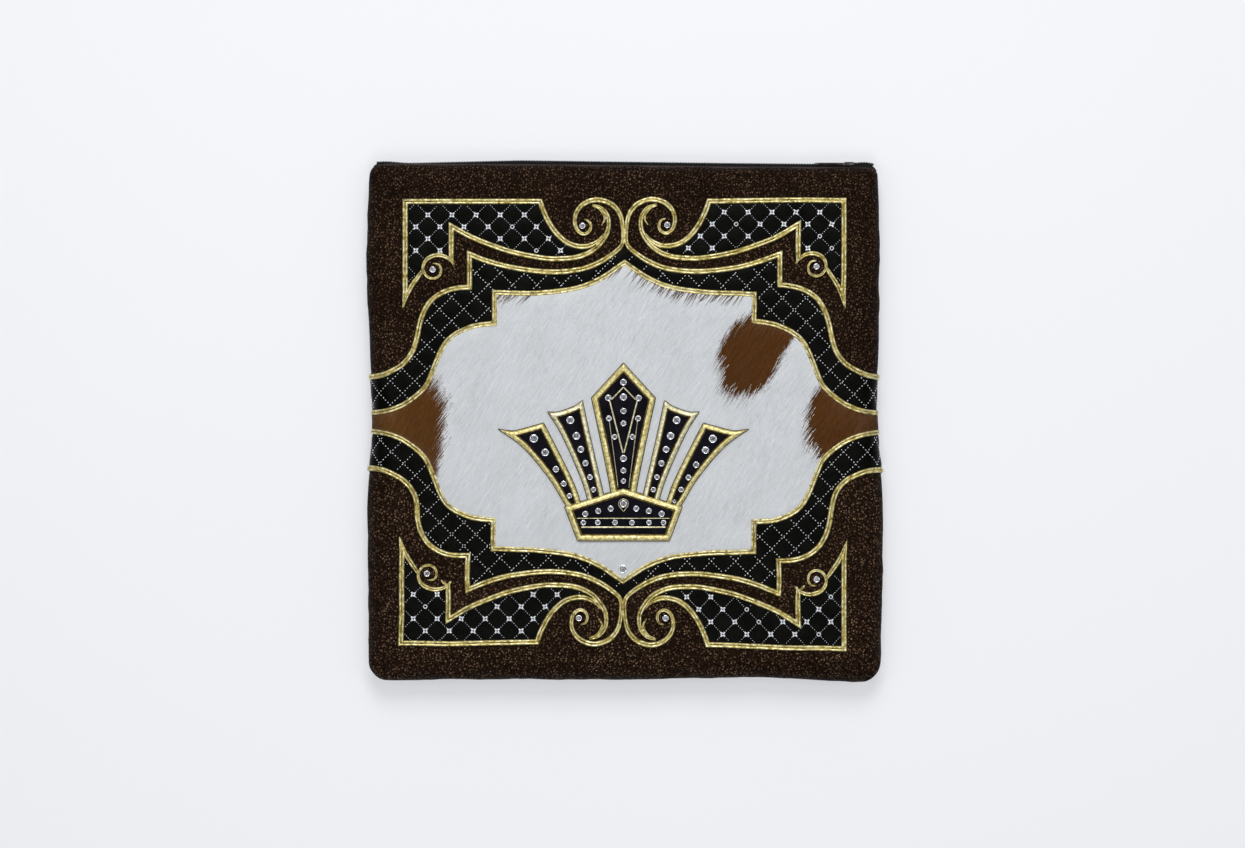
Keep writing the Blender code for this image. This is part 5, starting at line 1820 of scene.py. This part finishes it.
def fine_lines(look):
    """The fine gold lines on the crown's middle ray and base."""
    lines = []
    for start, end, width in CROWN_LINES:
        for side in (-1, 1):
            lines.append([(*crown_point(side, *place), width) for place in (start, end)])
    for place, width in BASE_LINES:
        lines.append([(*crown_point(side, *place), width) for side in (-1, 1)])
    stone = crown_point(1, *BASE_STONES[0][:2])
    arc = stone + DROP_RADIUS * direction(np.radians(np.linspace(-40, 220, 17)))
    drop = np.vstack([stone - (0, DROP_POINT), arc, stone - (0, DROP_POINT)])
    lines.append(np.column_stack([drop, np.full(len(drop), DROP_WIDTH)]))
    parts = [ribbon(np.array(line), CROWN_LOW + CROWN_PANEL - 0.05) for line in lines]
    add_merged("crown_fine_lines", parts, look, slot="gold_trim")


def crown(leather_look, warm, pale, edge, shade):
    """Five rays rising from a base, each a black panel with a gold outline."""
    corners = [crown_point(1, *p) for p in CROWN_BASE] + [crown_point(-1, *p) for p in CROWN_BASE[:0:-1]]
    base = [spaced(np.array(ends), BAR_SPACING) for ends in zip(corners, corners[1:] + corners[:1])]
    right = crown_runs(1, CROWN_CENTRE)
    foot = crown_point(1, *CROWN_CENTRE[1][-1])
    bottom = spaced(np.array([foot, foot * (-1, 1) + (2 * CROWN_X, 0)]), BAR_SPACING)
    pieces = [
        ("base", base, BASE_BAR, warm, False),
        ("ray_3", [*right, bottom, *mirrored(right)], MIDDLE_BAR, warm, True),
    ]
    for side, inner, outer in ((-1, "ray_2", "ray_1"), (1, "ray_4", "ray_5")):
        pieces.append((inner, crown_runs(side, CROWN_RAY_INNER), INNER_BAR, pale, True))
        pieces.append((outer, crown_runs(side, CROWN_RAY_OUTER), OUTER_BAR, warm, True))
    for name, runs, bar, gold, under in pieces:
        crown_panel(f"crown_panel_{name}", runs, bar, leather_look, under, (f"crown_{name}",))
        looks = [gold, edge, shade]
        crown_bar(f"crown_gold_{name}", runs, bar, looks, under, (f"crown_{name}_outline",))


def top_edge(x, insets):
    """The height of the leather's or the zip's top edge at x."""
    return HALF_HEIGHT - np.interp(x, EDGE_PLACES, insets)


def swept(name, sections, look, flipped=False, **options):
    """A solid through closed sections, one after another."""
    rows, columns = sections.shape[:2]
    around = np.arange(columns)
    faces = [grid_faces(rows, columns), np.array([around[::-1], (rows - 1) * columns + around])]
    if flipped:
        faces = [f[:, ::-1] for f in faces]
    return add_piece(name, sections.reshape(-1, 3), faces, [look], **options)


ZIP_TIPS = np.array((177.2, 176.6, 175.6, 174.0))


def zip_tape(look):
    """The zip's tape, which bulges out between the leather's lips."""
    x = np.concatenate([ZIP_TIPS * -1.0, np.arange(-172, 173, 4.0), ZIP_TIPS[::-1]])
    turns = np.radians(np.linspace(-90, 90, 15))
    middle = top_edge(x, TOP_INSET) - TAPE_TUCK
    bulge = top_edge(x, TEETH_INSET) - TEETH_OUT - GAP - middle
    rounded = np.sqrt(np.clip((ZIP_TIPS[0] + 0.3 - np.abs(x)) / 4, 0, 1))
    middle, bulge = middle - 1.5 * (1 - rounded), TAPE + 0.1 + (bulge - TAPE) * rounded
    half = TAPE_SHARE * mouth(x)
    section = []
    for angles, thinner in ((turns, 0.0), (turns[::-1], TAPE)):
        for angle in angles:
            y = middle + (bulge - thinner) * math.cos(angle)
            z = SEAM_Z + (half - thinner) * math.sin(angle)
            section.append(np.stack([x, y, z], -1))
    swept("zip_cloth", np.stack(section, 1), look, slot="zip_tape", replaces=("zip_tape",))


TOOTH_PITCH = 1.9
TOOTH_SECTIONS = ((-0.5, 0.45), (0.3, 0.95), (1.3, 1.0), (2.0, 0.55))
TOOTH_DEEP = 1.0
TOOTH_HALF = 0.3 * TOOTH_PITCH


def zip_teeth(look):
    """Closed coil teeth, in turn from the upper and the lower tape."""
    parts = []
    x = np.arange(-ZIP_END - 1.2, ZIP_END + 0.6, TOOTH_PITCH / 2)
    y = top_edge(x, TEETH_INSET) - TOOTH_DEEP
    triangles = capped(len(TOOTH_SECTIONS), 8)
    round_out, round_across = circle(8).T
    for number, (left, middle) in enumerate(zip(x, y)):
        side = 1 if number % 2 else -1
        rows = []
        for z, wide in TOOTH_SECTIONS:
            across = left + TOOTH_PITCH / 4 + TOOTH_HALF * wide * round_across
            out = middle + TOOTH_DEEP * wide * round_out
            rows.append(np.stack([across, out, np.full(8, SEAM_Z + side * z)], -1))
        parts.append((np.vstack(rows), triangles if side < 0 else triangles[:, ::-1]))
    add_merged("zip_coil", parts, look, slot="zip_teeth", replaces=("zip_teeth",))


SLIDER_BODY = ((4.5, 2.0), (3.0, 2.9), (0.0, 3.4), (-3.0, 3.0), (-4.5, 2.6))
SLIDER_BRIDGE = ((3.2, 0.9), (-3.2, 0.9))
SLIDER_PULL = ((-4.0, 1.2), (-6.0, 1.4), (-9.0, 2.2), (-22.0, 2.2), (-24.0, 1.6), (-24.5, 0.6))

# Each part's outline, its lower and upper height in y, and the solid that it replaces
SLIDER_PARTS = (
    ("body", SLIDER_BODY, 180.0, 182.0, ("zip_slider",)),
    ("bridge", SLIDER_BRIDGE, 182.0, 182.6, ()),
    ("pull", SLIDER_PULL, 180.7, 182.0, ()),
)


def slider(look):
    """The slider's body, its bridge and the pull that lies along the teeth."""
    for name, outline, low, high, replaces in SLIDER_PARTS:
        rim = np.array([*outline, *((along, -half) for along, half in outline[::-1])])
        middle = rim.mean(axis=0)
        rows = []
        for share, y in ((0.93, low), (1.0, low + 0.15), (1.0, high - 0.2), (0.88, high)):
            drawn = middle + (rim - middle) * share
            row = [SLIDER_X + drawn[:, 0], np.full(len(rim), y), SEAM_Z + drawn[:, 1]]
            rows.append(np.stack(row, -1))
        options = {"smooth_shaded": False, "slot": "dark_metal", "replaces": replaces}
        swept(f"slider_{name}", np.array(rows), look, flipped=True, **options)


LIP_RADIUS = 0.9
LIP_OUT = 0.2
LIP_ENDS = (-173.0, 176.0)
LIP_TAPER = 5.0
LIP_STITCH_PITCH = 3.3
LIP_STITCH_HALF = 1.15
LIP_STITCH_OUT = 1.25
LIP_STITCH = ((-1.0, 0.1), (-0.7, 0.3), (0.7, 0.3), (1.0, 0.1))


def lips(leather_look):
    """The folded edge of the leather along both sides of the zip."""
    x = np.linspace(*LIP_ENDS, 150)
    near = np.clip(np.minimum(x - LIP_ENDS[0], LIP_ENDS[1] - x) / LIP_TAPER, 0, 1)
    radius = LIP_RADIUS * (0.25 + 0.75 * np.sqrt(near))
    y = top_edge(x, TOP_INSET) - 0.35 - 0.6 * (1 - near)
    for name, sign in (("front", 1), ("back", -1)):
        z = SEAM_Z + sign * (GAP / 2 + mouth(x) + LIP_OUT)
        sections = [np.stack([x, y + radius * a, z + radius * b], -1) for a, b in circle(10)]
        swept(f"lip_{name}", np.stack(sections, 1), leather_look, slot="brown_leather")


def lip_stitches(thread):
    """A row of stitches along each lip."""
    parts = []
    triangles = capped(len(LIP_STITCH), 6)
    round_y, round_z = circle(6).T
    for middle in np.arange(-ZIP_END, ZIP_END, LIP_STITCH_PITCH) + 1.2:
        y = top_edge(middle, TOP_INSET) - LIP_RADIUS
        for sign in (1, -1):
            z = SEAM_Z + sign * (GAP / 2 + mouth(middle) + LIP_STITCH_OUT)
            rows = []
            for share, wide in LIP_STITCH:
                row = [np.full(6, middle + LIP_STITCH_HALF * share), y + wide * round_y, z + wide * round_z]
                rows.append(np.stack(row, -1))
            parts.append((np.vstack(rows), triangles))
    add_merged("lip_stitches", parts, thread)


def floor():
    """A plain pale floor, just below the bag."""
    glow = {"Emission_Color": (0.97, 0.98, 1.02, 1.0), "Emission_Strength": 0.43}
    look = Look("floor", FLOOR_PALE, 0.9, **glow)
    look.colour(look.ramp(look.noise(300.0), ((0.3, FLOOR_DARKER), (0.7, FLOOR_PALE))))
    mesh = bpy.data.meshes.new("floor")
    corners = [(x * FLOOR_HALF, y * FLOOR_HALF, 0) for x, y in ((-1, -1), (1, -1), (1, 1), (-1, 1))]
    mesh.from_pydata(corners, [], [(0, 1, 2, 3)])
    mesh.materials.append(look.material)
    ground = add_object("floor", mesh)
    ground.location.z = -GAP * MM


def sky():
    """Soft light from all round but straight above, where the camera stands."""
    world = bpy.data.worlds.new("studio")
    bpy.context.scene.world = world
    world.use_nodes = True
    nodes, links = world.node_tree.nodes, world.node_tree.links
    split = nodes.new("ShaderNodeSeparateXYZ")
    links.new(nodes.new("ShaderNodeTexCoord").outputs["Generated"], split.inputs[0])
    ramp = nodes.new("ShaderNodeValToRGB")
    links.new(split.outputs["Z"], ramp.inputs["Fac"])
    fill_ramp(ramp, [(height, tuple(light * part for part in SKY_TINT)) for height, light in SKY])
    links.new(ramp.outputs["Color"], nodes["Background"].inputs["Color"])
    nodes["Background"].inputs["Strength"].default_value = SKY_STRENGTH


def lamp(name, place, size, power):
    """A square soft light aimed at the middle of the bag."""
    light = bpy.data.lights.new(name, "AREA")
    light.size = size
    light.energy = power
    made = add_object(name, light)
    made.location = place
    made.rotation_euler = (Vector(LAMP_TARGET) - Vector(place)).to_track_quat("-Z", "Y").to_euler()


def camera():
    """The camera straight above, with the photograph's frame."""
    data = bpy.data.cameras.new("camera")
    data.sensor_width = SENSOR_WIDTH
    data.lens = SENSOR_WIDTH * FOCUS_MM / (PHOTO_WIDTH * MM_PER_PIXEL)
    data.clip_end = 50.0
    made = add_object("camera", data)
    made.location = Vector(CAMERA_MM) * MM
    bpy.context.scene.camera = made


def main():
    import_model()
    camera()
    sky()
    for name, place, size, power in LAMPS:
        lamp(name, place, size, power)
    floor()
    bpy.context.scene.view_settings.view_transform = "Standard"
    grain = pebbled_leather()
    shell("bag_front", True, grain, ("front_panel",))
    shell("bag_back", False, grain, ("back_panel",))
    edge = plain_look("trim_edge")
    trim_looks = [gold_foil(), edge, groove_gold()]
    band_trims(trim_looks)
    frame_trims(trim_looks)
    quilting(black_leather("black_leather", BLACK), plain_look("silver_thread"))
    hide(hide_skin(), hair())
    warm, pale, shade = (satin_gold(name, tints) for name, tints in CROWN_GOLDS.items())
    crown(black_leather("crown_black", CROWN_BLACK), warm, pale, edge, shade)
    fine_lines(pale)
    clear = cut_stone("clear_stone", (0.66, 0.67, 0.72), 0.5)
    dark = cut_stone("dark_stone", (0.3, 0.31, 0.36), 0.2)
    stones(plain_look("bright_metal"), clear, dark)
    zip_tape(zip_cloth())
    zip_teeth(plain_look("zip_plastic"))
    slider(plain_look("dark_plate"))
    lips(plain_look("edge_leather"))
    lip_stitches(plain_look("red_thread"))


main()
